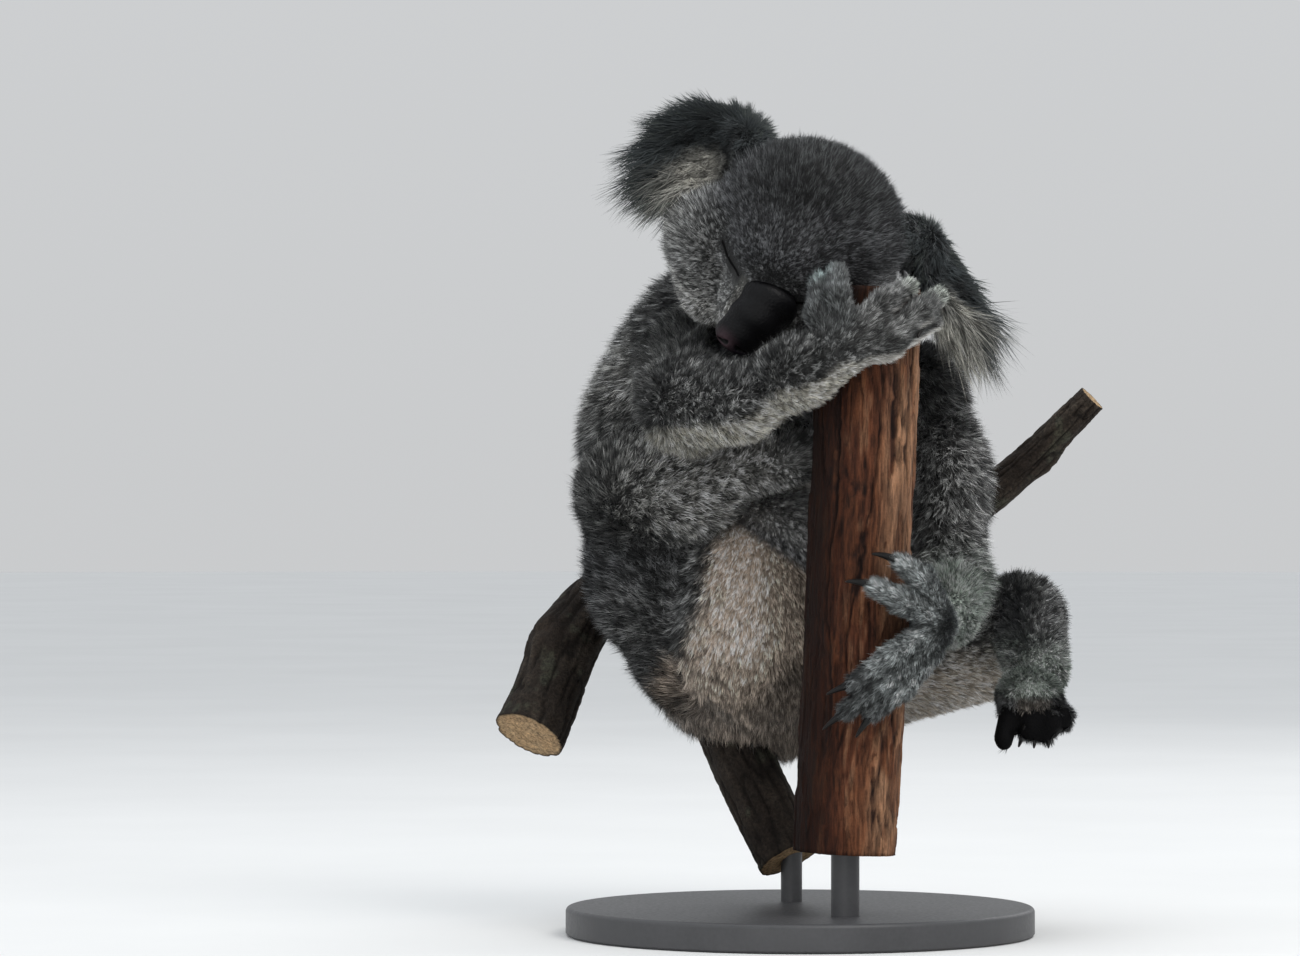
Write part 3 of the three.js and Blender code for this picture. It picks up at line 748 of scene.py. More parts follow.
# =====================================================================================
# 5. The skin: one closed surface under the coat
# =====================================================================================
SKIN_STEP = 2.67
BODY_LO, BODY_HI = np.array([-150.0, -162, 96]), np.array([182.0, 172, 548])
V, Q = surface_nets(skin_field, BODY_LO, BODY_HI, SKIN_STEP)
V, Q = drop_loose(V, Q)
log("skin nets", len(V), len(Q))
T = to_triangles(V, Q)
V = settle(skin_field, V, 2)
for radius in (24.0, 18.5, 14.5):
    V, T = refine(V, T, lambda q: np.minimum(np.linalg.norm(q - EYE_C[-1], axis=1), np.linalg.norm(q - EYE_C[1], axis=1)) < radius)
    sel = np.minimum(np.linalg.norm(V - EYE_C[-1], axis=1), np.linalg.norm(V - EYE_C[1], axis=1)) < radius + 3
    V[sel] = settle(skin_field, V[sel], 2, 0.8)
N = vertex_normals(V, T)
log("skin", len(V), "points", len(T), "triangles")
SKIN_V, SKIN_T, SKIN_N = V, T, N


# ---- what each point of the skin belongs to, how deep the coat is and which way it lies
def body_attributes(P):
    """Soft group weights, coat depth and lie of the coat at points on the skin."""
    d = chunks(prim_fields, P)
    w = np.exp(-np.maximum(d - d.min(1, keepdims=True), 0) / 5.0)
    w /= w.sum(1, keepdims=True)
    group = np.zeros((len(P), len(GROUPS)))
    flow = np.zeros((len(P), 3))
    for i, (g, k, a, fl) in enumerate(PRIMS):
        group[:, GI[g]] += w[:, i]
        if g == "head":
            v = unit(P - H(0, 84, -14))
            # over the crown the hair runs back, on the cheeks out and down
            v = v + HF[:, 1] * -0.35
        elif fl is None:  # the trunk: down the back and flanks, a little outwards on the chest
            v = np.broadcast_to(np.array([0.0, 0.0, -1.0]), P.shape).copy()
            v[:, 0] += 0.25 * np.sign(P[:, 0] + 20) * smooth(P[:, 2], 330, 230) * 0.5
        else:
            v = np.broadcast_to(np.asarray(fl, float), P.shape)
        flow += w[:, i : i + 1] * unit(v)
    depth = sum(group[:, GI[g]] * coat_depth(g, P) for g in GROUPS if not g.startswith("ear"))
    ears = np.stack([chunks(lambda q: ear_field(q, s), P) for s in "RL"], 1)
    return group, flow, depth, ears


GROUP, FLOW, DEPTH, EARF = body_attributes(SKIN_V)
BODYF = chunks(lambda q: np.min(np.stack([f for g, f in group_fields(q).items() if not g.startswith("ear")], -1), -1), SKIN_V)
ON_EAR = {s: smooth(BODYF - EARF[:, i], -1.0, 5.0) for i, s in enumerate("RL")}
EARNESS = np.maximum(ON_EAR["R"], ON_EAR["L"])
for s in "RL":
    e = EAR[s]
    root = e["sc"] - e["F"][:, 0] * 36
    v = unit(SKIN_V - root)
    FLOW = FLOW * (1 - ON_EAR[s][:, None]) + v * ON_EAR[s][:, None]
# round the closed eyes the short hair parts from the lids' line
for s in (-1, 1):
    d, t = slit_distance(SKIN_V, s)
    k = smooth(d, 8.0, 2.5)[:, None]
    FLOW = unit(FLOW) * (1 - k) + unit(SKIN_V - slit_point(t, s)) * k
def nose_edge(P):
    """Distance across the face from the line beside the nose, brow to lip, and how far down it."""
    q = (P - HEAD_C) @ HF
    m = HEAD_C + (q * np.array([1.0, 1, 1]) * np.stack([-np.sign(q[:, 0] - 2) * 1.0, np.ones(len(q)), np.ones(len(q))], 1)) @ HF.T
    a, b = np.array([-36.5, 417.0]), np.array([-57.0, 373.5])
    x = m[:, [0, 2]] - a
    t = np.clip(x @ (b - a) / ((b - a) @ (b - a)), 0, 1)
    return np.linalg.norm(x - t[:, None] * (b - a), axis=1), t


# and beside the nose it runs down along the leather's edge
NOSE_EDGE = nose_edge(SKIN_V)[0] + 40 * (((SKIN_V - HEAD_C) @ HF)[:, 1] < 30)
run = np.array([-20.5, 0, -43.5])
run_l = HF @ ((run @ HF) * np.array([-1.0, 1, 1]))
side = (((SKIN_V - HEAD_C) @ HF)[:, 0] > 2)[:, None]
k = smooth(NOSE_EDGE, 6.5, 3.5)[:, None]
FLOW = unit(FLOW) * (1 - k) + unit(np.where(side, run_l, run)) * k
FLOW = FLOW - SKIN_N * np.sum(FLOW * SKIN_N, 1, keepdims=True)
FLOW = unit(FLOW)
LID_D = np.minimum(slit_distance(SKIN_V, -1)[0], slit_distance(SKIN_V, 1)[0])
log("attributes")


NOSE_PRIMS = [(H(7, 73.5, -11.5), (19, 11, 17.5), tipped(30)), (H(4.5, 81, -24), (18, 11, 16.5), tipped(28)), (H(-0.8, 86, -37.3), (15, 9.5, 12.5), tipped(20))]


def f_nose(p):
    return smin(smin(f_blob(p, *NOSE_PRIMS[0]), f_blob(p, *NOSE_PRIMS[1]), 8.0), f_blob(p, *NOSE_PRIMS[2]), 8.0)


# =====================================================================================
# 6. Markings: one rule for skin and coat
# =====================================================================================
def srgb(*c):
    c = np.array(c, float) / 255
    return np.where(c <= 0.04045, c / 12.92, ((c + 0.055) / 1.055) ** 2.4)


GREY_DARK = srgb(52, 52, 54)
GREY_MID = srgb(98, 98, 97)
GREY_PALE = srgb(146, 145, 141)
CREAM = srgb(176, 166, 152)
WHITE = srgb(192, 190, 184)
BROWN = srgb(110, 100, 90)
BLACK = srgb(26, 26, 28)


def mix(a, b, t):
    return a * (1 - t[:, None]) + b * t[:, None]


EAR_DARK = srgb(46, 51, 53)
EAR_PALE = srgb(158, 156, 148)


def ear_under(P):
    """The left ear's inner, lower-facing half."""
    q = P - EAR["L"]["sc"]
    return smooth(-0.87 * q[:, 0] - 0.49 * q[:, 2] - 0.25 * q[:, 1] + 6 * (fbm(P, 9.0, 63, 2) - 0.5), -2, 10)


def ear_crest_shadow(P):
    """The dark hair between the right ear and the crown, darkened further by painted shadow."""
    return near(P, (-52, -6, 497), 40)


def ear_pale(P, Nn, side):
    """Where an ear's hair is pale: the hollow's outer half on the right ear, the hanging end on the left."""
    e = EAR[side]
    t = (P - e["sc"]) @ e["F"]
    if side == "R":
        r = np.sqrt(((t[:, 0] - 12) / 27) ** 2 + ((t[:, 2] + 9) / 20) ** 2) + 0.5 * (fbm(P, 8.0, 61, 2) - 0.5)
        return smooth(r, 1.1, 0.35) * smooth(Nn @ e["F"][:, 1], -0.3, 0.2)
    return ear_under(P) * smooth(t[:, 0], -4, 14)


def pale_front(P):
    """Where the front of the trunk and the right thigh's inside are pale: right of a line that slants out below."""
    edge = np.interp(P[:, 2], [140, 147, 166, 191, 219, 246, 320], [-96, -92, -87, -73, -63.5, -59, -56])
    return smooth(P[:, 0] - edge + 5 * (fbm(P, 13.0, 88, 2) - 0.5), -5, 9)


def calm_mask(P, Nn, group):
    """Where the coat is even and pale: the belly and the thighs' undersides."""
    front = smooth(-Nn[:, 1], -0.2, 0.5) * group[:, GI["trunk"]] * pale_front(P) * smooth(P[:, 2], 318, 262)
    inner = group[:, GI["thigh_R"]] * pale_front(P) * smooth(P[:, 2], 264, 244)
    under = group[:, GI["thigh_L"]] * smooth(-Nn[:, 2], -0.1, 0.5)
    band = (group[:, GI["forearm_R"]] + group[:, GI["hand_R"]] + 0.5 * group[:, GI["upper_arm_R"]]) * smooth(-Nn[:, 2], 0.42, 0.62)
    return np.clip(front + inner + under + 0.8 * band, 0, 1)


def digit_parting_shade(P, digits):
    """1 in the parting between two neighbouring digits of a hand, 0 on their backs: the mask of the painted shade
    there.
    """
    F = np.stack([np.minimum(f_cone(P, d[0], d[1], 10, 10), f_cone(P, d[1], d[2], 10, 9)) for d in [[np.array(x, float) for x in d] for d in digits]], 1)
    F = np.sort(F, 1)
    return smooth(F[:, 1] - F[:, 0], 6.0, 0.5) * smooth(F[:, 0], 9.0, 3.0)


def markings(P, Nn, group, on_ear_r, on_ear_l):
    """The coat's mean colour over the body, and how light its tips are."""
    q = (P - HEAD_C) @ HF
    c = np.tile(GREY_MID, (len(P), 1))
    G = {g: group[:, GI[g]] for g in GROUPS}
    head = G["head"] + 0.6 * G["neck"]
    # back and flanks darker, with a lighter patch on the animal's right side below the neck
    back = smooth(Nn[:, 1], -0.2, 0.6) * (1 - head)
    c = mix(c, GREY_DARK, back * 0.6)
    flank = near(P, (-114, 50, 356), 54) * (1 - G["upper_arm_R"])
    c = mix(c, GREY_PALE * 1.25, flank * 0.95)
    c = mix(c, GREY_DARK * 0.45, near(P, (-124, 44, 296), 66) * 0.85)
    # front of the trunk: chest grey in the fold, belly white towards the post
    front = smooth(-Nn[:, 1], -0.2, 0.5) * G["trunk"]
    pale = pale_front(P)
    cream = pale * smooth(P[:, 2], 318, 262)
    c = mix(c, CREAM * np.array([1.12, 1.03, 1.0]), front * cream * 0.97)
    c = mix(c, GREY_MID * 0.7, front * (1 - cream) * 0.5)
    c = mix(c, GREY_DARK * (0.36 + 0.62 * smooth(P[:, 2], 262, 225))[:, None], G["thigh_R"] * 0.88)
    c = mix(c, GREY_MID * 0.9, G["thigh_R"] * smooth(P[:, 0], -84, -112) * smooth(P[:, 2], 215, 180) * 0.6)
    c = mix(c, CREAM * np.array([1.12, 1.03, 1.0]), G["thigh_R"] * pale * smooth(-Nn[:, 1], -0.3, 0.3) * smooth(P[:, 2], 264, 244) * 0.97)
    c = mix(c, GREY_MID * 1.15, G["thigh_R"] * near(P, (-98, 0, 190), 52) * (1 - pale) * 0.8)
    # dark partings between the locks along that border
    seam = np.exp(-((fbm(P, 17.0, 91, 2) - 0.5) / 0.055) ** 2) * smooth(np.abs(P[:, 0] + 74 + 0.28 * (P[:, 2] - 220)), 34, 16)
    belly = front * cream + G["thigh_R"] * pale * smooth(P[:, 2], 264, 244)
    # the pale belly is darker towards its bottom, and painted shadow darkens it next to the post; elsewhere it is
    # lifted a little
    dim = np.clip(0.62 * smooth(P[:, 2], 192, 140) + 0.55 * smooth(P[:, 0], -38, -6), 0, 0.8)
    c = c * (1 - np.clip(belly, 0, 1) * dim)[:, None] * (1 + 0.2 * np.clip(belly, 0, 1) * (1 - dim / 0.8))[:, None]
    rim = smooth(P[:, 0], -52, -84) * smooth(P[:, 2], 205, 165)
    c = c * (1 - 0.25 * rim * np.clip(G["thigh_R"] + G["trunk"], 0, 1))[:, None]
    c = c * (1 - 0.8 * seam * smooth(-Nn[:, 1], 0, 0.4) * smooth(P[:, 2], 262, 248) * np.clip(G["thigh_R"] + G["trunk"], 0, 1))[:, None]
    c = mix(c, GREY_PALE * 1.0, G["shank_R"] * 0.9)
    c = c * (1 - 0.45 * near(P, (-118, -20, 286), 60) * (1 - smooth(P[:, 0], -74, -50)))[:, None]
    # right forearm: grizzled mid grey above, a white fringe below
    arm = G["forearm_R"] + 0.5 * G["upper_arm_R"]
    c = mix(c, GREY_MID * 0.95, arm * 0.7)
    c = mix(c, GREY_MID * 0.42, G["forearm_R"] * smooth(P[:, 0], -30, 10) * smooth(Nn[:, 2], -0.6, 0.0) * 0.8)
    c = mix(c, WHITE * np.array([1.3, 1.28, 1.2]), smooth(-Nn[:, 2], 0.42, 0.64) * arm * 0.98)
    c = mix(c, GREY_MID * 0.86, G["hand_R"] * 0.9)
    c = mix(c, GREY_MID * np.array([0.42, 0.46, 0.48]), G["hand_R"] * smooth(P[:, 0], 34, 22) * 0.8)
    c = mix(c, WHITE * 1.5, smooth(-Nn[:, 2], 0.5, 0.75) * G["hand_R"] * 0.92)
    pale_ends = np.maximum(near(P, (66, -121, 411), 15), near(P, (84, -110, 406), 15))
    c = mix(c, WHITE * np.array([0.8, 0.9, 0.84]), pale_ends * G["hand_R"] * 0.7)
    c = mix(c, WHITE * np.array([0.55, 0.72, 0.76]), near(P, (11, -112, 415), 13) * G["hand_R"] * 0.7)
    # left arm: grizzled, paler towards the wrist
    c = mix(c, GREY_MID * 1.45, G["upper_arm_L"] * 0.85)
    # painted shadow: the left upper arm darkened on its side next to the post
    c = c * (1 - 0.72 * G["upper_arm_L"] * smooth(P[:, 0], 108, 84) * smooth(P[:, 2], 236, 256))[:, None]
    wrist = np.array([0.9, 1.04, 0.98])
    c = mix(c, GREY_PALE * 2.8 * wrist, G["forearm_L"] * 0.85)
    c = mix(c, GREY_PALE * 1.7 * wrist, G["upper_arm_L"] * smooth(P[:, 2], 262, 205) * smooth(P[:, 0], 80, 106) * 0.75)
    c = mix(c, GREY_MID * 2.9 * np.array([0.97, 1.06, 1.08]), G["hand_L"] * 0.85)
    ends = smooth(np.min(np.stack([np.linalg.norm(P - np.array(d[2], float), axis=1) for d in HAND_L]), 0), 24, 8)
    c = mix(c, GREY_DARK * 0.85, ends * G["hand_L"] * smooth(P[:, 2], 200, 180) * 0.8)
    # painted shade in the partings between neighbouring digits of each hand
    for g, digits in (("hand_R", HAND_R), ("hand_L", HAND_L)):
        m = G[g] > 0.02
        parting_shade = np.zeros(len(P))
        parting_shade[m] = digit_parting_shade(P[m], digits)
        c = c * (1 - 0.75 * parting_shade * G[g])[:, None]
    # left leg: pale underside of the thigh, grey shank, dark foot
    c = mix(c, CREAM * 1.2, smooth(-Nn[:, 2], -0.1, 0.5) * G["thigh_L"] * 0.95)
    c = mix(c, GREY_MID * 2.5, G["shank_L"] * 0.82)
    # painted shade on the left shank's upper inner side, towards the body
    c = mix(c, GREY_DARK * 0.14, G["shank_L"] * smooth(P[:, 0], 160, 140) * smooth(P[:, 2], 170, 186) * 0.95)
    c = mix(c, GREY_PALE * 1.9 * wrist, G["shank_L"] * smooth(P[:, 2], 196, 170) * 0.8)
    c = mix(c, GREY_DARK * 0.8, (G["foot_R"] + G["foot_L"]) * 0.7)
    c = mix(c, GREY_PALE * 1.9 * wrist, G["foot_L"] * smooth(P[:, 2], 153, 160) * 0.85)
    c = mix(c, BROWN * 0.5, G["foot_L"] * smooth(P[:, 2], 158, 152) * smooth(np.abs(P[:, 0] - 146), 13, 8) * smooth(-Nn[:, 1], 0, 0.4) * 0.8)
    # head: forehead dark, pale cheeks and lips, white chin
    h = smooth(head, 0.2, 0.8)
    fore = smooth(q[:, 2] - 0.15 * np.abs(q[:, 0]), -30, 10)
    c = mix(c, GREY_DARK * np.array([0.74, 0.73, 0.75]), fore * h * 0.97)
    crown = smooth(q[:, 2] - 0.2 * np.abs(q[:, 0]), 4, 44)
    c = mix(c, GREY_DARK * np.array([0.07, 0.06, 0.07]), crown * smooth(P[:, 2], 430, 470) * h * 0.97)
    c = mix(c, GREY_DARK * 0.9, near(P, H(-22, 54, 2), 30) * h * 0.6)
    cheek = smooth(np.abs(q[:, 0]), 26, 58) * smooth(-q[:, 2], -8, 22)
    c = mix(c, GREY_MID * 0.85, cheek * h * 0.75)
    c = mix(c, GREY_PALE * 0.8, smooth(np.abs(q[:, 0]), 58, 80) * smooth(-q[:, 2], -6, 26) * h * 0.8)
    low = smooth(-q[:, 2], 30, 52) * smooth(q[:, 1], 5, 40)
    c = mix(c, GREY_PALE * 0.75, low * h * 0.8)
    c = mix(c, GREY_MID * 0.42, near(P, H(-42, 44, 0), 16) * 0.5)
    # painted shadow beside the bridge of the nose, by the right eye's inner end
    c = mix(c, GREY_MID * 0.32, near(P, H(-19, 60, -12), 15) * h * 0.75)
    c = mix(c, GREY_MID * 0.34, near(P, (-57, -75, 420), 15) * h * 0.6)
    # a narrow white line of hair along the sides of the nose, down to the lips
    nd = chunks(f_nose, P)
    beside = smooth(np.abs(q[:, 0] - 5), 9, 15) * smooth(-q[:, 2], -4, 12)
    c = mix(c, GREY_MID * 0.8, smooth(nd, 15.0, 7.0) * beside * 0.5)
    d, t = nose_edge(P)
    c = mix(c, WHITE * (0.22 + 1.6 * smooth(t, 0.25, 0.8))[:, None], smooth(d, 3.4, 1.9) * smooth(q[:, 1], 30, 44) * h * 0.98)
    c = mix(c, WHITE * 1.1, near(P, H(0, 84, -54), 20) * 0.7)
    c = mix(c, GREY_MID * 0.45, smooth(nd, 14.0, 4.0) * smooth(q[:, 2], -2, 8) * 0.6)
    # ears: dark, with a pale hollow in front
    for s, on in (("R", on_ear_r), ("L", on_ear_l)):
        c = mix(c, mix(np.tile(EAR_DARK * 0.85, (len(P), 1)), EAR_PALE * (1.05 if s == "R" else 1.3), ear_pale(P, Nn, s)), on)
    # painted shadow over the dark hair between the right ear and the crown
    c = c * (1 - 0.66 * ear_crest_shadow(P) * (1 - ear_pale(P, Nn, "R")))[:, None]
    # the shaded fold between the belly, the thigh and the arm
    low_edge = 264 - (P[:, 0] + 42) * 0.66
    fold = smooth(P[:, 2] - low_edge, -3, 4) * smooth(P[:, 0], -50, -38) * smooth(P[:, 2], 300, 280) * G["trunk"] * smooth(-Nn[:, 1], -0.2, 0.3)
    c = mix(c, GREY_MID * np.array([1.9, 1.95, 2.0]), fold * 0.85)
    c = mix(c, GREY_DARK * 1.5, fold * smooth(P[:, 2] - low_edge, 15, 4) * 0.85)
    tip = np.clip(0.5 + 0.5 * smooth(c.mean(1), 0.02, 0.3), 0, 1)
    # broad unevenness of the coat
    n1 = fbm(P, 42, 11)
    n2 = fbm(P, 14, 23)
    c = c * (0.74 + 0.36 * n1 + 0.16 * n2)[:, None]
    even = calm_mask(P, Nn, group)
    n3 = fbm(P, 6.5, 29, 2)
    c = c * (1 + (1.5 * (n3 - 0.5) - 0.08) * (1 - even) * (1 - 0.5 * h))[:, None]
    return c, tip


def sole_mask(P, Nn, group):
    """The bare black sole of the hanging foot, which faces forward and down."""
    edge = 146.5 + 4.0 * (fbm(P, 7.0, 77, 2) - 0.5) + 3.0 * smooth(np.abs(P[:, 0] - 145), 7, 14)
    foot = smooth(group[:, GI["foot_L"]], 0.4, 0.6)
    sole = smooth(edge - P[:, 2], -0.8, 0.8) * smooth(-Nn[:, 1] - 0.35 * Nn[:, 2], 0.05, 0.3) * foot
    hallux = smooth(144 + 3 * (fbm(P, 7.0, 78, 2) - 0.5) - P[:, 2], -0.8, 0.8) * smooth(f_cone(P, *HALLUX), 3.5, 1.5) * foot
    return np.maximum(sole, hallux)


SOLE = sole_mask(SKIN_V, SKIN_N, GROUP)
CALM = calm_mask(SKIN_V, SKIN_N, GROUP)
MARK, TIPS = markings(SKIN_V, SKIN_N, GROUP, ON_EAR["R"], ON_EAR["L"])
# painted shade: the coat darkened within a few millimetres of the closed lids' line
MARK = MARK * (1 - 0.55 * smooth(LID_D, 6.5, 1.2))[:, None]

# per-point places of the wood, where no tufts may pass
def keep_out(p):
    """Negative inside the post, the branch or its stub."""
    d = f_post(p)
    m = p[:, 1] > 20
    if m.any():
        d[m] = np.minimum(d[m], np.minimum(f_run(p[m], BRANCH_PATH, BRANCH_R), f_run(p[m], STUB_PATH, STUB_R, 7)))
    return d


# =====================================================================================
# 7. The coat
# =====================================================================================
PALE_BAND = np.array([0.060, 0.066, 0.064])


def atlas_uv(P, Nn):
    """A place on the skin's own six-way unwrap."""
    lo, hi = BODY_LO, BODY_HI
    ax = np.abs(Nn).argmax(1)
    side = (Nn[np.arange(len(P)), ax] > 0).astype(int)
    cell = ax * 2 + side
    t = (P - lo) / (hi - lo)
    o = np.array([[1, 2], [0, 2], [0, 1]])[ax]
    u = t[np.arange(len(P)), o[:, 0]]
    v = t[np.arange(len(P)), o[:, 1]]
    col, row = cell % 3, cell // 3
    return np.stack([(col + 0.02 + 0.96 * u) / 3, (row + 0.02 + 0.96 * v) / 2], 1)


def sample(density, jitter=None):
    """Roots on the skin at so many to the square millimetre."""
    a = SKIN_V[SKIN_T[:, 0]]
    b = SKIN_V[SKIN_T[:, 1]]
    c = SKIN_V[SKIN_T[:, 2]]
    area = np.linalg.norm(np.cross(b - a, c - a), axis=1) / 2
    want = area * density[SKIN_T].mean(1)
    cum = np.cumsum(want)
    n = int(cum[-1])
    t = (np.arange(n) + rng.random(n)) * (cum[-1] / n)
    tri = np.minimum(np.searchsorted(cum, t), len(area) - 1)
    r1, r2 = np.sqrt(rng.random(n)), rng.random(n)
    w = np.stack([1 - r1, r1 * (1 - r2), r1 * r2], 1)
    return tri, w


def at_roots(A, tri, w):
    T3 = SKIN_T[tri]
    if A.ndim == 1:
        return (A[T3] * w).sum(1)
    return (A[T3] * w[..., None]).sum(1)


def make_tufts(tri, w, opt):
    """Blades from roots: opt gives length, width, lift and curl as functions of the root's attributes."""
    P = at_roots(SKIN_V, tri, w)
    Nn = unit(at_roots(SKIN_N, tri, w))
    fl = at_roots(FLOW, tri, w)
    depth = at_roots(DEPTH, tri, w)
    col = at_roots(MARK, tri, w)
    n = len(P)
    # locks: roots in one cell lean together and share a length and shade
    cell = opt["cell"]
    centre, ident, _ = worley(P, cell, opt["seed"])
    hl = hash3(ident, opt["seed"] + 11)
    hb = hash3(ident, opt["seed"] + 12)
    hx = np.stack([hash3(ident, opt["seed"] + k) for k in (13, 14, 15)], -1) - 0.5
    tidy = 0.12 + 0.88 * smooth(at_roots(LID_D, tri, w), 2.0, 9.0)  # combed flat beside the lids, smoother where pale
    tidy = tidy * (0.3 + 0.7 * smooth(at_roots(NOSE_EDGE, tri, w), 4.0, 8.0))
    tidy = (tidy * (1 - 0.45 * at_roots(CALM, tri, w)))[:, None]
    fl = unit(fl + (opt["wander"] * hx + opt["noise"] * (rng.random((n, 3)) - 0.5)) * tidy)
    fl = unit(fl - Nn * np.sum(fl * Nn, 1, keepdims=True))
    L = opt["length"](P, Nn, depth, tri, w) 
    va = opt.get("vary", (0.8, 0.3, 0.8, 0.4))
    L = L * (va[0] + va[1] * hl) * (va[2] + va[3] * rng.random(n))
    W = opt["width"](P, depth) * (0.75 + 0.5 * rng.random(n))
    lift0 = opt["lift"][0] + opt["lift"][2] * (rng.random(n) - 0.5)
    lift1 = opt["lift"][1] + opt["lift"][2] * (rng.random(n) - 0.5)
    if "lift_add" in opt:
        x = opt["lift_add"](P, Nn)
        lift0, lift1 = lift0 + x, lift1 + x
    lift0, lift1 = lift0 * (0.45 + 0.55 * tidy[:, 0]), lift1 * (0.35 + 0.65 * tidy[:, 0])
    lift0, lift1 = np.clip(lift0, 0.12, 1.45), np.clip(lift1, 0.05, 1.4)
    d0 = fl * np.cos(lift0)[:, None] + Nn * np.sin(lift0)[:, None]
    d1 = fl * np.cos(lift1)[:, None] + Nn * np.sin(lift1)[:, None]
    if "direct" in opt:
        d0, d1 = opt["direct"](P, Nn, d0, d1)
    mid = P - Nn * 0.6 + d0 * (L * 0.48)[:, None]
    tip = mid + d1 * (L * 0.52)[:, None]
    # tips draw towards the lock's middle
    ctip = centre + d1 * (L * 0.8)[:, None]
    pull = opt["pull"] * (0.6 + 0.8 * rng.random(n))[:, None]
    tan = (ctip - tip) - d1 * np.sum((ctip - tip) * d1, 1, keepdims=True)
    tip = tip + tan * pull
    mid = mid + tan * pull * 0.35
    if "curl" in opt:
        cv = np.cross(d1, rng.standard_normal((n, 3)))
        tip = tip + unit(cv) * (L * opt["curl"] * rng.random(n))[:, None]
    # no tip inside wood, nose or a neighbouring part
    ok = (keep_out(tip) > 0.3) & (keep_out(mid) > 0.3) & (f_nose(tip) > 0.4) & (f_nose(mid) > 0.4)
    if "reject" in opt:
        ok &= ~opt["reject"](P, Nn, mid, tip)
    P, Nn, d0, d1, mid, tip, W, L, col, hb, fl, tidy = (x[ok] for x in (P, Nn, d0, d1, mid, tip, W, L, col, hb, fl, tidy))
    tri, w = tri[ok], w[ok]
    n = len(P)
    side = unit(np.cross(d0, Nn) + 1e-6)
    roll = rng.normal(0, opt.get("roll", 0.45), n)
    up = np.cross(side, d0)
    side = side * np.cos(roll)[:, None] + up * np.sin(roll)[:, None]
    # colour: dark at the root, grizzled tips
    tipc = opt["tip"]
    soft = opt.get("soft", 0.65)

    lock_pale = smooth(hb, 0.5, 0.8)
    lock_dark = smooth(0.45 - hb, 0.0, 0.35)

    own = rng.random(n)
    calm = at_roots(CALM, tri, w)

    def colours(r):
        # agouti hair: dark below, a pale band near the tip on some hairs, more of them in some locks;
        # most hairs of one comb are alike
        r = np.where(rng.random(n) < 0.7, own, r)
        salt = (r < tipc["salt"] * (0.45 + 1.5 * lock_pale)).astype(float)
        pepper = (r > 1 - tipc["pepper"] * (0.6 + 1.2 * lock_dark) * (1 - 0.85 * calm)).astype(float)
        g = tipc["lock"] * (1 - 0.72 * calm)
        tone = (1 - g + 2.1 * g * hb) * (0.8 + 0.4 * rng.random(n)) * (1 - pepper * 0.7)
        a = col * (tipc.get("root", 0.4) * (0.6 + 0.5 * hb) * (1 + 1.4 * calm))[:, None] * np.array([1.08, 1.0, 0.92])
        b = col * (0.8 * tone)[:, None]
        c = col * (tone * (1.25 + salt * tipc["gain"]))[:, None] + (salt * (0.35 + 0.65 * lock_pale))[:, None] * PALE_BAND * tipc.get("band", 1.0)
        if "paint" in opt:
            a, b, c = opt["paint"](P, Nn, a, b, c)
        return a, b, c

    uv0 = atlas_uv(P, Nn)
    if opt.get("prongs"):  # a comb of straight hairs on one root
        m = opt["prongs"]
        Vs, Fs, Ns, Cs, Us = [], [], [], [], []
        chord = unit(tip - (P - Nn * 0.6))
        for q in range(m):
            o = (q - (m - 1) / 2) * 0.75
            d = unit(chord + opt["spread"] * tidy * (rng.random((n, 3)) - 0.5))
            Lk = np.linalg.norm(tip - P, axis=1) * (0.68 + 0.42 * rng.random(n))
            b0 = P - Nn * 0.7 + side * (W * o)[:, None] + fl * ((rng.random(n) - 0.5) * W * 1.4)[:, None]
            v = np.stack([b0 - side * (W * 0.5)[:, None], b0 + side * (W * 0.5)[:, None], b0 + d * Lk[:, None]], 1)
            f = np.arange(n)[:, None] * (3 * m) + np.array([[3 * q, 3 * q + 1, 3 * q + 2]])
            g = np.cross(v[:, 1] - v[:, 0], v[:, 2] - v[:, 0])
            flip = np.sum(g * Nn, 1) < 0
            f[flip] = f[flip][:, ::-1]
            g[flip] *= -1
            nor = unit(Nn * soft + unit(g) * (1 - soft))
            a, b, c = colours(rng.random(n))
            Vs.append(v)
            Fs.append(f)
            Ns.append(np.stack([nor, nor, unit(nor + d * 0.3)], 1))
            Cs.append(np.stack([a, a, c], 1))
            ox = -0.001 + 0.001 * q
            Us.append(uv0[:, None] + np.array([[ox - 0.0004, -0.0015], [ox + 0.0004, -0.0015], [ox, 0.0015]])[None])
        return dict(V=np.concatenate(Vs, 1), faces=[np.stack(Fs, 1)], N=np.concatenate(Ns, 1), C=np.clip(np.concatenate(Cs, 1), 0, 1), UV=np.concatenate(Us, 1), P=P, nn=Nn)
    base = P - Nn * 0.8
    V5 = np.stack([base - side * (W * 0.5)[:, None], base + side * (W * 0.5)[:, None], mid - side * (W * 0.42)[:, None], mid + side * (W * 0.42)[:, None], tip], 1)
    k = np.arange(n)[:, None] * 5
    quad = k + np.array([[0, 1, 3, 2]])
    trif = k + np.array([[2, 3, 4]])
    fnv = np.cross(V5[:, 1] - V5[:, 0], V5[:, 2] - V5[:, 0])
    flip = np.sum(fnv * Nn, 1) < 0
    quad[flip] = quad[flip][:, ::-1]
    trif[flip] = trif[flip][:, ::-1]
    fnv[flip] *= -1
    nor = unit(Nn * soft + unit(fnv) * (1 - soft))
    NV = np.repeat(nor[:, None], 5, 1)
    NV[:, 4] = unit(nor + d1 * 0.25)
    a, b, c = colours(rng.random(n))
    C = np.stack([a, a, b, b, c], 1)
    off = np.array([[-0.0015, -0.0015], [0.0015, -0.0015], [-0.0013, 0.0002], [0.0013, 0.0002], [0, 0.0016]])
    return dict(V=V5, faces=[quad[:, None], trif[:, None]], N=NV, C=np.clip(C, 0, 1), UV=uv0[:, None] + off[None], P=P, nn=Nn)


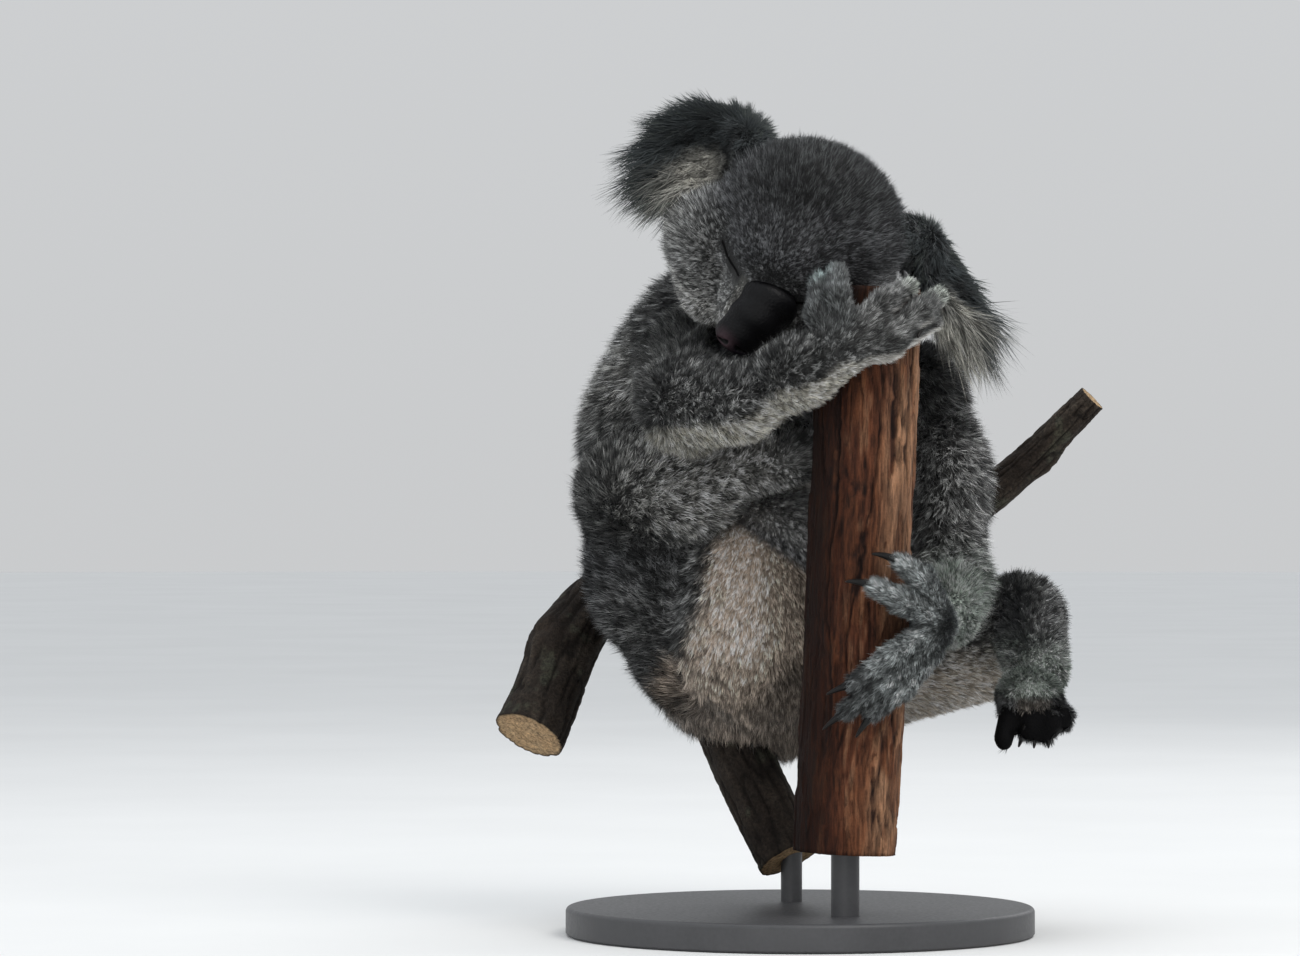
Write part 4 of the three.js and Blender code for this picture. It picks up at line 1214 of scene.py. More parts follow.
def add_coat(name, tufts, sel, mat, nodes):
    """One mesh piece of the chosen tufts."""
    n = int(sel.sum())
    if n == 0:
        return None
    per = tufts["V"].shape[1]
    V = tufts["V"][sel].reshape(-1, 3)
    shift = (np.arange(n) - np.nonzero(sel)[0])[:, None, None] * per
    faces = [(f[sel] + shift).reshape(-1, f.shape[2]) for f in tufts["faces"]]
    ob = new_mesh(
        name,
        V,
        faces,
        color=tufts["C"][sel].reshape(-1, 3),
        uv=tufts["UV"][sel].reshape(-1, 2),
        normals=tufts["N"][sel].reshape(-1, 3),
        mat=mat,
    )
    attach(ob, "root")
    if nodes:
        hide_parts(*nodes)
    log(name, n, "tufts", sum(len(f) * (f.shape[1] - 2) for f in faces), "triangles")
    return ob


# =====================================================================================
# 8. Materials
# =====================================================================================
class Mat:
    """A material's node tree, with short names for the nodes used here."""

    def __init__(self, name):
        self.m = bpy.data.materials.new(name)
        self.m.use_nodes = True
        self.nt = self.m.node_tree
        self.nt.nodes.clear()
        self.out = self.node("ShaderNodeOutputMaterial")
        self.bsdf = self.node("ShaderNodeBsdfPrincipled")
        self.link(self.bsdf.outputs["BSDF"], self.out.inputs["Surface"])

    def node(self, kind, **props):
        n = self.nt.nodes.new(kind)
        for k, v in props.items():
            setattr(n, k, v)
        return n

    def link(self, a, b):
        self.nt.links.new(a, b)

    def set(self, **values):
        for k, v in values.items():
            self.bsdf.inputs[k.replace("_", " ")].default_value = v

    def coords(self, scale=(1, 1, 1)):
        t = self.node("ShaderNodeTexCoord")
        m = self.node("ShaderNodeMapping")
        m.inputs["Scale"].default_value = scale
        self.link(t.outputs["Object"], m.inputs["Vector"])
        return m.outputs["Vector"]

    def noise(self, vec, scale, detail=4.0, rough=0.55, distortion=0.0):
        n = self.node("ShaderNodeTexNoise")
        n.inputs["Scale"].default_value = scale
        n.inputs["Detail"].default_value = detail
        n.inputs["Roughness"].default_value = rough
        n.inputs["Distortion"].default_value = distortion
        self.link(vec, n.inputs["Vector"])
        return n.outputs["Fac"]

    def voronoi(self, vec, scale, feature="F1", randomness=1.0):
        n = self.node("ShaderNodeTexVoronoi", feature=feature)
        n.inputs["Scale"].default_value = scale
        n.inputs["Randomness"].default_value = randomness
        self.link(vec, n.inputs["Vector"])
        return n.outputs["Distance"]

    def ramp(self, fac, *stops, kind="LINEAR"):
        n = self.node("ShaderNodeValToRGB")
        n.color_ramp.interpolation = kind
        el = n.color_ramp.elements
        while len(el) < len(stops):
            el.new(0.5)
        for e, (x, c) in zip(el, stops):
            e.position = x
            e.color = (*c, 1) if hasattr(c, "__len__") else (c, c, c, 1)
        self.link(fac, n.inputs["Fac"])
        return n.outputs["Color"]

    def attribute(self, name):
        n = self.node("ShaderNodeAttribute", attribute_name=name)
        return n.outputs["Color"]

    def mixc(self, fac, a, b, blend="MIX"):
        n = self.node("ShaderNodeMix", data_type="RGBA", blend_type=blend)
        for sock, v in ((n.inputs[0], fac), (n.inputs[6], a), (n.inputs[7], b)):
            if hasattr(v, "is_output"):
                self.link(v, sock)
            elif hasattr(v, "__len__"):
                sock.default_value = (*v, 1) if len(v) == 3 else v
            else:
                sock.default_value = v if sock.type == "VALUE" else (v, v, v, 1)
        return n.outputs[2]

    def math(self, op, a, b=0.0, clamp=False):
        n = self.node("ShaderNodeMath", operation=op, use_clamp=clamp)
        for sock, v in ((n.inputs[0], a), (n.inputs[1], b)):
            if hasattr(v, "is_output"):
                self.link(v, sock)
            else:
                sock.default_value = v
        return n.outputs[0]

    def bump(self, height, strength, distance, normal=None):
        n = self.node("ShaderNodeBump")
        n.inputs["Strength"].default_value = strength
        n.inputs["Distance"].default_value = distance
        self.link(height, n.inputs["Height"])
        if normal is not None:
            self.link(normal, n.inputs["Normal"])
        return n.outputs["Normal"]

    def to(self, socket, v):
        self.link(v, self.bsdf.inputs[socket])


def mat_coat():
    m = Mat("coat_hair")
    c = m.attribute("coat")
    v = m.coords()
    n = m.noise(v, 900.0, 2.0, 0.6)
    c = m.mixc(m.math("MULTIPLY", n, 0.35), c, m.mixc(1.0, c, 1.55, "MULTIPLY"))
    m.to("Base Color", c)
    r = m.ramp(m.noise(v, 260.0, 2.0), (0.3, 0.52), (0.75, 0.74))
    m.to("Roughness", r)
    m.set(Specular_IOR_Level=0.22, Sheen_Weight=0.12, Sheen_Roughness=0.55)
    m.bsdf.inputs["Sheen Tint"].default_value = (0.9, 0.93, 0.95, 1)
    return m.m


def mat_skin():
    m = Mat("coat_underfur")
    c = m.attribute("coat")
    v = m.coords()
    n1 = m.noise(v, 420.0, 5.0, 0.65)
    n2 = m.noise(v, 1500.0, 3.0, 0.6)
    c = m.mixc(m.ramp(n1, (0.3, 0.0), (0.75, 1.0)), m.mixc(1.0, c, 0.42, "MULTIPLY"), m.mixc(1.0, c, 0.85, "MULTIPLY"))
    m.to("Base Color", c)
    m.set(Roughness=0.72, Specular_IOR_Level=0.2)
    h = m.math("ADD", m.math("MULTIPLY", n1, 0.7), m.math("MULTIPLY", n2, 0.5))
    m.to("Normal", m.bump(h, 0.8, 0.0009))
    return m.m


def mat_nose():
    m = Mat("nose_leather_black")
    v = m.coords()
    big = m.noise(v, 55.0, 4.0, 0.6)
    cells = m.voronoi(v, 620.0, "SMOOTH_F1")
    fine = m.noise(v, 1900.0, 3.0, 0.6)
    t = m.attribute("tint")
    c = m.ramp(big, (0.35, (0.0014, 0.0013, 0.0018)), (0.6, (0.0023, 0.0022, 0.003)), (0.8, (0.0036, 0.0032, 0.0043)))
    c = m.mixc(1.0, c, t, "MULTIPLY")
    m.to("Base Color", c)
    m.to("Roughness", m.ramp(m.math("ADD", m.math("MULTIPLY", cells, 0.7), m.math("MULTIPLY", big, 0.45)), (0.25, 0.42), (0.8, 0.62)))
    m.set(Specular_IOR_Level=0.17, Coat_Weight=0.02, Coat_Roughness=0.4)
    h = m.math("SUBTRACT", m.math("MULTIPLY", fine, 0.18), m.math("MULTIPLY", cells, 0.9))
    m.to("Normal", m.bump(h, 0.55, 0.0007))
    return m.m


def mat_lid():
    m = Mat("eyelid_skin")
    v = m.coords()
    n = m.noise(v, 700.0, 4.0, 0.6)
    m.to("Base Color", m.ramp(n, (0.3, (0.0016, 0.0014, 0.0014)), (0.75, (0.004, 0.0036, 0.0036))))
    m.set(Roughness=0.8, Specular_IOR_Level=0.08)
    m.to("Normal", m.bump(n, 0.5, 0.0005))
    return m.m


def mat_sole():
    m = Mat("sole_leather")
    v = m.coords()
    n = m.noise(v, 260.0, 5.0, 0.6)
    cells = m.voronoi(v, 900.0, "SMOOTH_F1")
    m.to("Base Color", m.ramp(n, (0.35, (0.0012, 0.0012, 0.0015)), (0.75, (0.0032, 0.003, 0.0032))))
    m.to("Roughness", m.ramp(n, (0.3, 0.62), (0.8, 0.85)))
    m.set(Specular_IOR_Level=0.06)
    m.to("Normal", m.bump(m.math("ADD", m.math("MULTIPLY", cells, -0.8), m.math("MULTIPLY", n, 0.6)), 0.6, 0.0008))
    return m.m


def mat_eye():
    m = Mat("eye_brown")
    v = m.coords()
    n = m.noise(v, 500.0, 4.0)
    m.to("Base Color", m.ramp(n, (0.35, (0.008, 0.005, 0.004)), (0.7, (0.022, 0.013, 0.008))))
    m.set(Roughness=0.12, Coat_Weight=1.0, Coat_Roughness=0.03, Specular_IOR_Level=0.55)
    return m.m


def mat_claw():
    m = Mat("claw_horn")
    v = m.coords()
    t = m.attribute("tint")
    n = m.noise(v, 300.0, 4.0, 0.6)
    c = m.mixc(m.ramp(n, (0.35, 0.0), (0.75, 1.0)), t, m.mixc(1.0, t, 1.7, "MULTIPLY"))
    m.to("Base Color", c)
    m.to("Roughness", m.ramp(n, (0.3, 0.3), (0.8, 0.48)))
    m.set(Specular_IOR_Level=0.22, Coat_Weight=0.03, Coat_Roughness=0.3)
    m.to("Normal", m.bump(m.noise(v, 900.0, 3.0), 0.25, 0.0003))
    return m.m


def mat_wood(name, bump=1.0, gloss=(0.72, 0.95), stretch=(1, 1, 0.1)):
    m = Mat(name)
    t = m.attribute("tint")
    v = m.coords(stretch)
    u = m.coords()
    g1 = m.noise(v, 520.0, 6.0, 0.68, 0.5)
    g2 = m.noise(u, 120.0, 5.0, 0.65)
    g3 = m.noise(v, 1700.0, 3.0, 0.65)
    g4 = m.noise(u, 700.0, 4.0, 0.7)
    c = m.mixc(m.ramp(g1, (0.36, 0.0), (0.62, 1.0)), m.mixc(1.0, t, 0.42, "MULTIPLY"), m.mixc(1.0, t, 1.4, "MULTIPLY"))
    c = m.mixc(m.math("MULTIPLY", m.ramp(g4, (0.4, 0.0), (0.65, 1.0)), 0.35), c, m.mixc(1.0, c, 0.45, "MULTIPLY"))
    c = m.mixc(m.math("MULTIPLY", m.ramp(g2, (0.35, 0.0), (0.7, 1.0)), 0.4), c, m.mixc(1.0, c, (1.3, 1.12, 0.95), "MULTIPLY"))
    m.to("Base Color", c)
    m.to("Roughness", m.ramp(g1, (0.3, gloss[0]), (0.75, gloss[1])))
    m.set(Specular_IOR_Level=0.16)
    h = m.math("ADD", m.math("MULTIPLY", g1, 0.8), m.math("ADD", m.math("MULTIPLY", g3, 0.35), m.math("MULTIPLY", g4, 0.3)))
    m.to("Normal", m.bump(h, bump, 0.0016))
    return m.m


def mat_stand(name, base, rough):
    m = Mat(name)
    v = m.coords()
    n = m.noise(v, 380.0, 5.0, 0.6)
    b = m.noise(v, 26.0, 4.0, 0.6)
    lo = tuple(x * 0.86 for x in base)
    hi = tuple(x * 1.16 for x in base)
    m.to("Base Color", m.ramp(m.math("ADD", m.math("MULTIPLY", n, 0.5), m.math("MULTIPLY", b, 0.5)), (0.35, lo), (0.65, hi)))
    m.to("Roughness", m.ramp(n, (0.3, rough - 0.06), (0.75, rough + 0.1)))
    m.set(Specular_IOR_Level=0.4)
    m.to("Normal", m.bump(n, 0.18, 0.0003))
    return m.m


COAT = mat_coat()
SKIN = mat_skin()
LID = mat_lid()
SOLEM = mat_sole()
NOSE = mat_nose()
EYE = mat_eye()
HORN = mat_claw()
POST = mat_wood("post_redwood", 1.0)
BARK = mat_wood("branch_bark", 1.0, stretch=(1, 1, 1))
STANDM = mat_stand("stand_lacquer", (0.055, 0.055, 0.058), 0.46)
RODM = mat_stand("rod_lacquer", (0.05, 0.05, 0.053), 0.4)

# =====================================================================================
# 9. The skin piece
# =====================================================================================
FLESH = ["trunk", "neck", "head", "ear_R", "ear_L"]
FLESH += [p + "_" + s for p in ("upper_arm", "forearm", "hand", "thigh", "shank", "foot") for s in "RL"]

fn = unit(np.cross(SKIN_V[SKIN_T[:, 1]] - SKIN_V[SKIN_T[:, 0]], SKIN_V[SKIN_T[:, 2]] - SKIN_V[SKIN_T[:, 0]]))
mids = SKIN_V[SKIN_T].mean(1)
face_mat = np.zeros(len(SKIN_T), int)
for k in (-1, 1):
    face_mat[slit_distance(mids, k)[0] < 1.0] = 1
face_mat[SOLE[SKIN_T].mean(1) > 0.5] = 2
skin = new_mesh("skin", SKIN_V, SKIN_T, color=MARK, mat=[SKIN, LID, SOLEM], material_index=face_mat)
uvl = skin.data.uv_layers.new(name="OFBake")
fnr = np.repeat(fn, 3, 0)
uvl.data.foreach_set("uv", atlas_uv(SKIN_V[SKIN_T.ravel()], fnr).astype(np.float32).ravel())
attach(skin, "root")
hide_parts(*FLESH)

# =====================================================================================
# 10. The coat's pieces
# =====================================================================================
HEADW = GROUP[:, GI["head"]]
HANDW = sum(GROUP[:, GI[g]] for g in ("hand_R", "hand_L", "foot_R", "foot_L"))
# how far from the bare leather and the lids: no hair grows there
nose_d = chunks(f_nose, SKIN_V)
bare = smooth(nose_d, 0.0, 1.5) * smooth(LID_D, 0.95, 1.2)
wood = smooth(chunks(keep_out, SKIN_V), 2.2, 3.5)  # nothing grows against the wood
K = 1.0
face_near = 1 - smooth(np.linalg.norm(SKIN_V - H(0, 78, -16), axis=1), 25, 110)

dens_body = 1.12 * (1 - smooth(HEADW, 0.3, 0.6)) * (1 - EARNESS) * (1 - smooth(HANDW, 0.35, 0.65)) * wood * K
dens_head = (1.75 + 2.0 * face_near) * smooth(HEADW, 0.3, 0.6) * (1 - EARNESS) * bare * wood * K
dens_hand = 1.5 * smooth(HANDW, 0.35, 0.65) * (1 - SOLE) * wood * K


def in_flesh(P, Nn, mid, tip, detail=False):
    """A blade whose tip or middle sinks into flesh."""
    f = chunks(lambda q: skin_field(q, detail), np.vstack([tip, mid]))
    n = len(tip)
    return (f[:n] < 0.4) | (f[n:] < -0.8)


# the body: trunk, neck and limbs
tri, w = sample(dens_body)
body = make_tufts(
    tri,
    w,
    dict(
        cell=2.5, seed=101, wander=1.2, noise=0.5, pull=0.5, roll=0.7,
        length=lambda P, Nn, d, tri, w: d * 1.1 * (1 - 0.06 * at_roots(CALM, tri, w)),
        width=lambda P, d: 0.55 + 0.010 * d,
        lift=(1.1, 0.75, 0.6),
        tip=dict(salt=0.33, pepper=0.42, gain=2.1, root=0.12, lock=0.75),
        prongs=3, spread=0.38, soft=0.36, reject=in_flesh,
    ),
)
log("body tufts", len(body["P"]))
bp = body["P"]
bg = np.stack([(bp[:, 0] - 0), bp[:, 2]], 1)
owner = chunks(lambda q: np.argmin(prim_fields(q), 1), bp)
gname = np.array([p[0] for p in PRIMS])[owner]
is_arm_r = np.isin(gname, ["upper_arm_R", "forearm_R", "hand_R"])
is_arm_l = np.isin(gname, ["upper_arm_L", "forearm_L", "hand_L"])
is_leg_r = np.isin(gname, ["thigh_R", "shank_R", "foot_R"])
is_leg_l = np.isin(gname, ["thigh_L", "shank_L", "foot_L"])
rest = ~(is_arm_r | is_arm_l | is_leg_r | is_leg_l)
back = bp[:, 1] > 78
add_coat("coat_back_upper", body, rest & back & (bp[:, 2] > 270), COAT, [])
add_coat("coat_back_lower", body, rest & back & (bp[:, 2] <= 270), COAT, [])
add_coat("coat_front_upper", body, rest & ~back & (bp[:, 2] > 290), COAT, [])
add_coat("coat_front_lower", body, rest & ~back & (bp[:, 2] <= 290), COAT, [])
add_coat("coat_arm_R", body, is_arm_r, COAT, [])
add_coat("coat_arm_L", body, is_arm_l, COAT, [])
add_coat("coat_leg_R", body, is_leg_r, COAT, [])
add_coat("coat_leg_L", body, is_leg_l, COAT, [])
del body

# hands and feet: short and close
tri, w = sample(dens_hand)
hands = make_tufts(
    tri,
    w,
    dict(
        cell=2.0, seed=201, wander=0.5, noise=0.4, pull=0.3, roll=0.5,
        length=lambda P, Nn, d, tri, w: 5.0 + 0.45 * d,
        width=lambda P, d: 0.5 + 0 * d,
        lift=(0.8, 0.45, 0.4),
        tip=dict(salt=0.3, pepper=0.4, gain=1.4, root=0.12, lock=0.4),
        prongs=3, spread=0.4, soft=0.5, reject=in_flesh,
    ),
)
add_coat("coat_hands_feet", hands, np.ones(len(hands["P"]), bool), COAT, [])
del hands


# the head
def head_length(P, Nn, d, tri, w):
    q = (P - HEAD_C) @ HF
    x = d * 1.22 * (0.4 + 0.6 * smooth(at_roots(LID_D, tri, w), 2.0, 15.0))
    # a longer fringe on the cheeks' rim and the chin
    return x + 5.0 * smooth(np.abs(q[:, 0]), 52, 76) * smooth(-q[:, 2], -20, 20)


tri, w = sample(dens_head)
head = make_tufts(
    tri,
    w,
    dict(
        cell=1.5, seed=301, wander=0.75, noise=0.36, pull=0.5, roll=0.7,
        length=head_length,
        width=lambda P, d: 0.5 + 0.03 * d,
        lift=(1.0, 0.65, 0.6),
        tip=dict(salt=0.28, pepper=0.48, gain=2.4, root=0.05, lock=0.5, band=1.2),
        prongs=3, spread=0.26, soft=0.3, reject=lambda *a: in_flesh(*a, True),
    ),
)
hq = (head["P"] - HEAD_C) @ HF
front = hq[:, 1] > 44
mid = (hq[:, 1] > 14) & ~front
add_coat("coat_face", head, front, COAT, [])
add_coat("coat_cheeks", head, mid, COAT, [])
add_coat("coat_crown", head, ~front & ~mid, COAT, [])
del head


# ears: long soft hair that fans past the rim
def ray_to_ear(P, D, side, grow=1.0):
    """How far along D from P the ear's outline is."""
    e = EAR[side]
    r = np.array(e["half"]) * grow
    o = ((P - e["c"]) @ e["F"]) / r
    d = (D @ e["F"]) / r
    A = (d * d).sum(1)
    B = (o * d).sum(1)
    C = (o * o).sum(1) - 1
    disc = np.maximum(B * B - A * C, 0)
    return np.maximum((-B + np.sqrt(disc)) / A, 0)


for side, key in (("R", "ear_R"), ("L", "ear_L")):
    e = EAR[side]
    dens = smooth(ON_EAR[side], 0.25, 0.6) * 3.1 * K * wood
    tri, w = sample(dens)

    def ear_dir(P, Nn, d0, d1, e=e):
        q = (P - e["sc"]) @ e["F"]
        rad = unit(q * np.array([1.0, 0.0, 1.0]) + np.array([20.0, 0, 0]))
        out = rad @ e["F"].T
        rim = smooth(np.sqrt((q[:, 0] / e["sr"][0]) ** 2 + (q[:, 2] / e["sr"][2]) ** 2), 0.62, 1.0)[:, None]
        jit = 0.34 * (hash_dir(P))
        d0 = unit(d0 * (1 - rim) + (out + Nn * 0.35) * rim + jit * 0.6)
        d1 = unit(d1 * (1 - 0.8 * rim) + out * 0.8 * rim + jit + np.array([0, 0, -0.12]) * rim)
        return d0, d1

    def hash_dir(P):
        return np.stack([hash3(np.floor(P * 7).astype(np.int64), 900 + k) for k in range(3)], 1) - 0.5

    def ear_len(P, Nn, d, tri, w, e=e, side=side):
        q = (P - e["sc"]) @ e["F"]
        out = unit(q * np.array([1.0, 0.0, 1.0]) + np.array([20.0, 0, 0])) @ e["F"].T
        rim = smooth(np.sqrt((q[:, 0] / e["sr"][0]) ** 2 + (q[:, 2] / e["sr"][2]) ** 2), 0.55, 0.98)
        far = np.minimum(ray_to_ear(P, out, side), 44)
        return (7.0 if side == "R" else 10.0) + rim * np.maximum(far - 6, 3) * 1.05

    def ear_paint(P, Nn, a, b, c, e=e):
        q = (P - e["sc"]) @ e["F"]
        rim = smooth(np.sqrt((q[:, 0] / e["sr"][0]) ** 2 + (q[:, 2] / e["sr"][2]) ** 2), 0.6, 1.0)[:, None]
        low = smooth(-q[:, 2], -6, 16)[:, None]  # the fringe's lower part has paler, greenish ends
        light = srgb(128, 138, 128) * (rng.random(len(P)) < 0.3)[:, None]
        right = e is EAR["R"]
        # the rim's dark hair colour; on the right ear it carries the painted shadow next to the crown
        shade = EAR_DARK * (0.85 * (1 - 0.66 * ear_crest_shadow(P)) if right else 0.7 + 0 * P[:, 0])[:, None]
        keep = 0.92 if right else 0.92 - 0.86 * ear_under(P)[:, None]
        x, y = keep * rim, 0.92 * keep * rim
        a, b, c = a * (1 - x) + shade * x, b * (1 - x) + shade * x, c * (1 - y) + shade * y
        return a, b, np.maximum(c, light * rim * (0.35 + 0.65 * low))

    ear = make_tufts(
        tri,
        w,
        dict(
            cell=5.5, seed=401 + (side == "L"), wander=0.6, noise=0.6, pull=0.42, roll=0.7, vary=(0.5, 0.6, 0.6, 0.6),
            length=ear_len,
            width=lambda P, d: 0.6 + 0 * P[:, 0],
            lift=(0.85, 0.5, 0.5),
            direct=ear_dir,
            tip=dict(salt=0.16, pepper=0.3, gain=0.5, root=0.4, lock=0.4, band=0.7),
            curl=0.2, soft=0.45, paint=ear_paint,
        ),
    )
    add_coat("coat_" + key, ear, np.ones(len(ear["P"]), bool), COAT, [])
    del ear


# =====================================================================================
# 11. Nose, eyes and claws
# =====================================================================================
def f_nose_full(p):
    f = f_nose(p)
    for k in (-1, 1):  # comma-shaped nostrils, open to the side
        a, b, c = H(-0.8 + k * 3.2, 95.4, -38.4), H(-0.8 + k * 5.2, 94.2, -41.2), H(-0.8 + k * 9.4, 90.6, -41.0)
        f = smax(f, -np.minimum(f_cone(p, a, b, 1.1, 2.5), f_cone(p, b, c, 2.5, 1.2)), 0.8)
    # a shallow furrow down the middle of the lower part
    f = smax(f, -f_cone(p, H(-0.8, 98, -38), H(-0.8, 92, -50), 0.7, 1.2), 1.2)
    # fine wrinkles
    return f + 0.22 * (fbm(p, 7.0, 71, 2) - 0.5)


NH = 0.8
c0 = H(3.5, 86, -21)
NV_, NQ_ = surface_nets(f_nose_full, c0 - 40, c0 + 40, NH, coarse=3)
NV_, NQ_ = drop_loose(NV_, NQ_)
NV_ = settle(f_nose_full, NV_, 2, 0.6)
tipness = near(NV_, H(-6, 94, -40.5), 13)
depthn = smooth(chunks(lambda q: f_nose_full(q) - f_nose(q), NV_), 0.4, 2.2)
tint = np.ones((len(NV_), 3)) * (1 + 0 * tipness[:, None])
tint = mix(tint, np.array([34.0, 22.0, 19.0]), tipness)
tint = mix(tint, np.array([9.0, 7.5, 8.0]), near(NV_, H(4, 92, -44), 9) * 0.8)
# painted shade inside the nostrils and the furrow cut into the leather
tint = mix(tint, np.array([0.3, 0.2, 0.2]), smooth(chunks(f_nose, NV_), -0.4, -1.1))
nose = new_mesh("nose_leather", NV_, NQ_, color=tint, mat=NOSE, attr="tint")
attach(nose, "root")
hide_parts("nose")
log("nose", len(NQ_))


def ball(name, c, r, node, seg=40, rings=28):
    th = np.linspace(0, np.pi, rings + 1)[1:-1]
    ph = np.linspace(0, 2 * np.pi, seg, endpoint=False)
    t, f = np.meshgrid(th, ph, indexing="ij")
    pts = np.stack([np.sin(t) * np.cos(f), np.sin(t) * np.sin(f), np.cos(t)], -1).reshape(-1, 3)
    pts = np.vstack([pts, [[0, 0, 1], [0, 0, -1]]]) * r + c
    n = rings - 1
    i, j = np.meshgrid(np.arange(n - 1), np.arange(seg), indexing="ij")
    q = np.stack([i * seg + j, (i + 1) * seg + j, (i + 1) * seg + (j + 1) % seg, i * seg + (j + 1) % seg], -1).reshape(-1, 4)
    j = np.arange(seg)
    top = np.stack([np.full(seg, n * seg), j, (j + 1) % seg], 1)
    bot = np.stack([np.full(seg, n * seg + 1), (n - 1) * seg + (j + 1) % seg, (n - 1) * seg + j], 1)
    ob = new_mesh(name, pts, [q, top, bot], mat=EYE)
    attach(ob, "root")
    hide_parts(node)
    return ob


ball("eyeball_R", EYE_C[-1], 7.9, "eye_R")
ball("eyeball_L", EYE_C[1], 7.9, "eye_L")

CLAWS = {
    "hand_R": [
        (HAND_R[0][2], (0.45, 0.8, 0.3), (0.1, 0, 1)),
        (HAND_R[1][2], (0.25, 0.9, 0.1), (0.1, 0, 1)),
        (HAND_R[2][2], (-0.1, 0.8, 0.55), (0.1, 0, 1)),
        (HAND_R[3][2], (0.25, 0.95, 0.05), (1, -0.3, 0.3)),
        (HAND_R[4][2], (-0.45, -0.75, -0.5), (-0.4, -0.2, 0.9)),
    ],
    "hand_L": [
        (HAND_L[0][2], (-0.95, 0.1, 0.3), (0, -0.6, 0.6)),
        (HAND_L[1][2], (-0.97, 0.1, 0.2), (0, -0.6, 0.6)),
        (HAND_L[2][2], (-0.92, 0.05, -0.38), (0, -0.9, 0.3)),
        (HAND_L[3][2], (-0.78, 0.05, -0.62), (0, -0.9, 0.3)),
        (HAND_L[4][2], (-0.55, 0.05, -0.82), (0, -0.9, 0.3)),
    ],
    "foot_R": [
        ((47.5, -36, 347.5), (0.5, -0.35, 0.8), (0.2, -1, 0)),
        ((53, -38, 344), (0.65, -0.4, 0.6), (0.2, -1, 0)),
        (FOOT_R[2][1], (0.85, -0.5, 0.1), (0.2, -1, 0)),
        (FOOT_R[3][1], (0.85, -0.5, -0.1), (0.2, -1, 0)),
    ],
    "foot_L": [
        ((141, -56, 135), (-0.3, 0.4, -0.87), (0, -0.8, 0.3)),
        ((147, -56, 135), (-0.05, 0.4, -0.92), (0, -0.8, 0.3)),
        (FOOT_L[2][1], (0.1, 0.4, -0.92), (0, -0.8, 0.3)),
        (FOOT_L[3][1], (-0.55, -0.15, -0.82), (0.8, -0.2, -0.5)),
    ],
}


def claw_mesh(root, d, bend, length, rings=26, sides=18):
    d, bend = unit(np.array(d, float)), unit(np.array(bend, float))
    a = np.array(root, float) + d * (1.0 if length > 16 else 0.0)
    e = a + d * length
    m = (a + e) / 2 + bend * length * 0.22
    side = unit(np.cross(d, bend))
    s = np.linspace(-0.3, 1.0, rings) ** 1
    out, tint = [], []
    for x in s:
        o = (1 - x) ** 2 * a + 2 * x * (1 - x) * m + x * x * e
        t = unit(2 * (1 - x) * (m - a) + 2 * x * (e - m))
        up = unit(np.cross(side, t))
        r = 0.55 + 3.35 * (1 - max(x, 0)) ** 0.75
        if x > 0.96:
            r *= math.sqrt(max(1 - ((x - 0.96) / 0.04) ** 2, 0.02))
        ph = np.linspace(0, 2 * np.pi, sides, endpoint=False)
        # keeled above, with a furrow on each side below
        prof = 1 + 0.06 * np.cos(ph * 2) - 0.07 * np.exp(-((np.abs(np.angle(np.exp(1j * (ph + np.pi / 2)))) - 0.75) / 0.25) ** 2)
        wob = 1 + 0.02 * np.sin(x * 60 + ph)
        out.append(o + side * (np.cos(ph) * r * 0.74 * prof * wob)[:, None] + up * (np.sin(ph) * r * prof * wob)[:, None])
        k = float(smooth(np.array([x]), 0.55, 1.0)[0])
        tint.append(np.tile(np.array([0.0022, 0.002, 0.0019]) * (1 - k) + np.array([0.006, 0.0048, 0.004]) * k, (sides, 1)))
    P = np.vstack(out)
    n = rings
    i, j = np.meshgrid(np.arange(n - 1), np.arange(sides), indexing="ij")
    q = np.stack([i * sides + j, i * sides + (j + 1) % sides, (i + 1) * sides + (j + 1) % sides, (i + 1) * sides + j], -1).reshape(-1, 4)
    P = np.vstack([P, P[:sides].mean(0), P[-sides:].mean(0)])
    c1, c2 = len(P) - 2, len(P) - 1
    j = np.arange(sides)
    tr = np.concatenate([np.stack([np.full(sides, c1), (j + 1) % sides, j], 1), np.stack([np.full(sides, c2), (n - 1) * sides + j, (n - 1) * sides + (j + 1) % sides], 1)])
    tint = np.vstack(tint + [tint[0][:1], tint[-1][:1]])
    return P, q, tr, tint


for g, lst in CLAWS.items():
    P, QQ, TT, C, k = [], [], [], [], 0
    for root, d, bend in lst:
        a, b, c, t = claw_mesh(root, d, bend, 19 if g.startswith("hand") else 15)
        P.append(a)
        QQ.append(b + k)
        TT.append(c + k)
        C.append(t)
        k += len(a)
    P, QQ, TT, C = map(np.vstack, (P, QQ, TT, C))
    ob = new_mesh("claws_" + g, P, [QQ, TT], color=C, mat=HORN, attr="tint")
    ob.data.validate()
    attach(ob, "root")
    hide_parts(*[g + "_claw_%d" % (i + 1) for i in range(len(lst))])

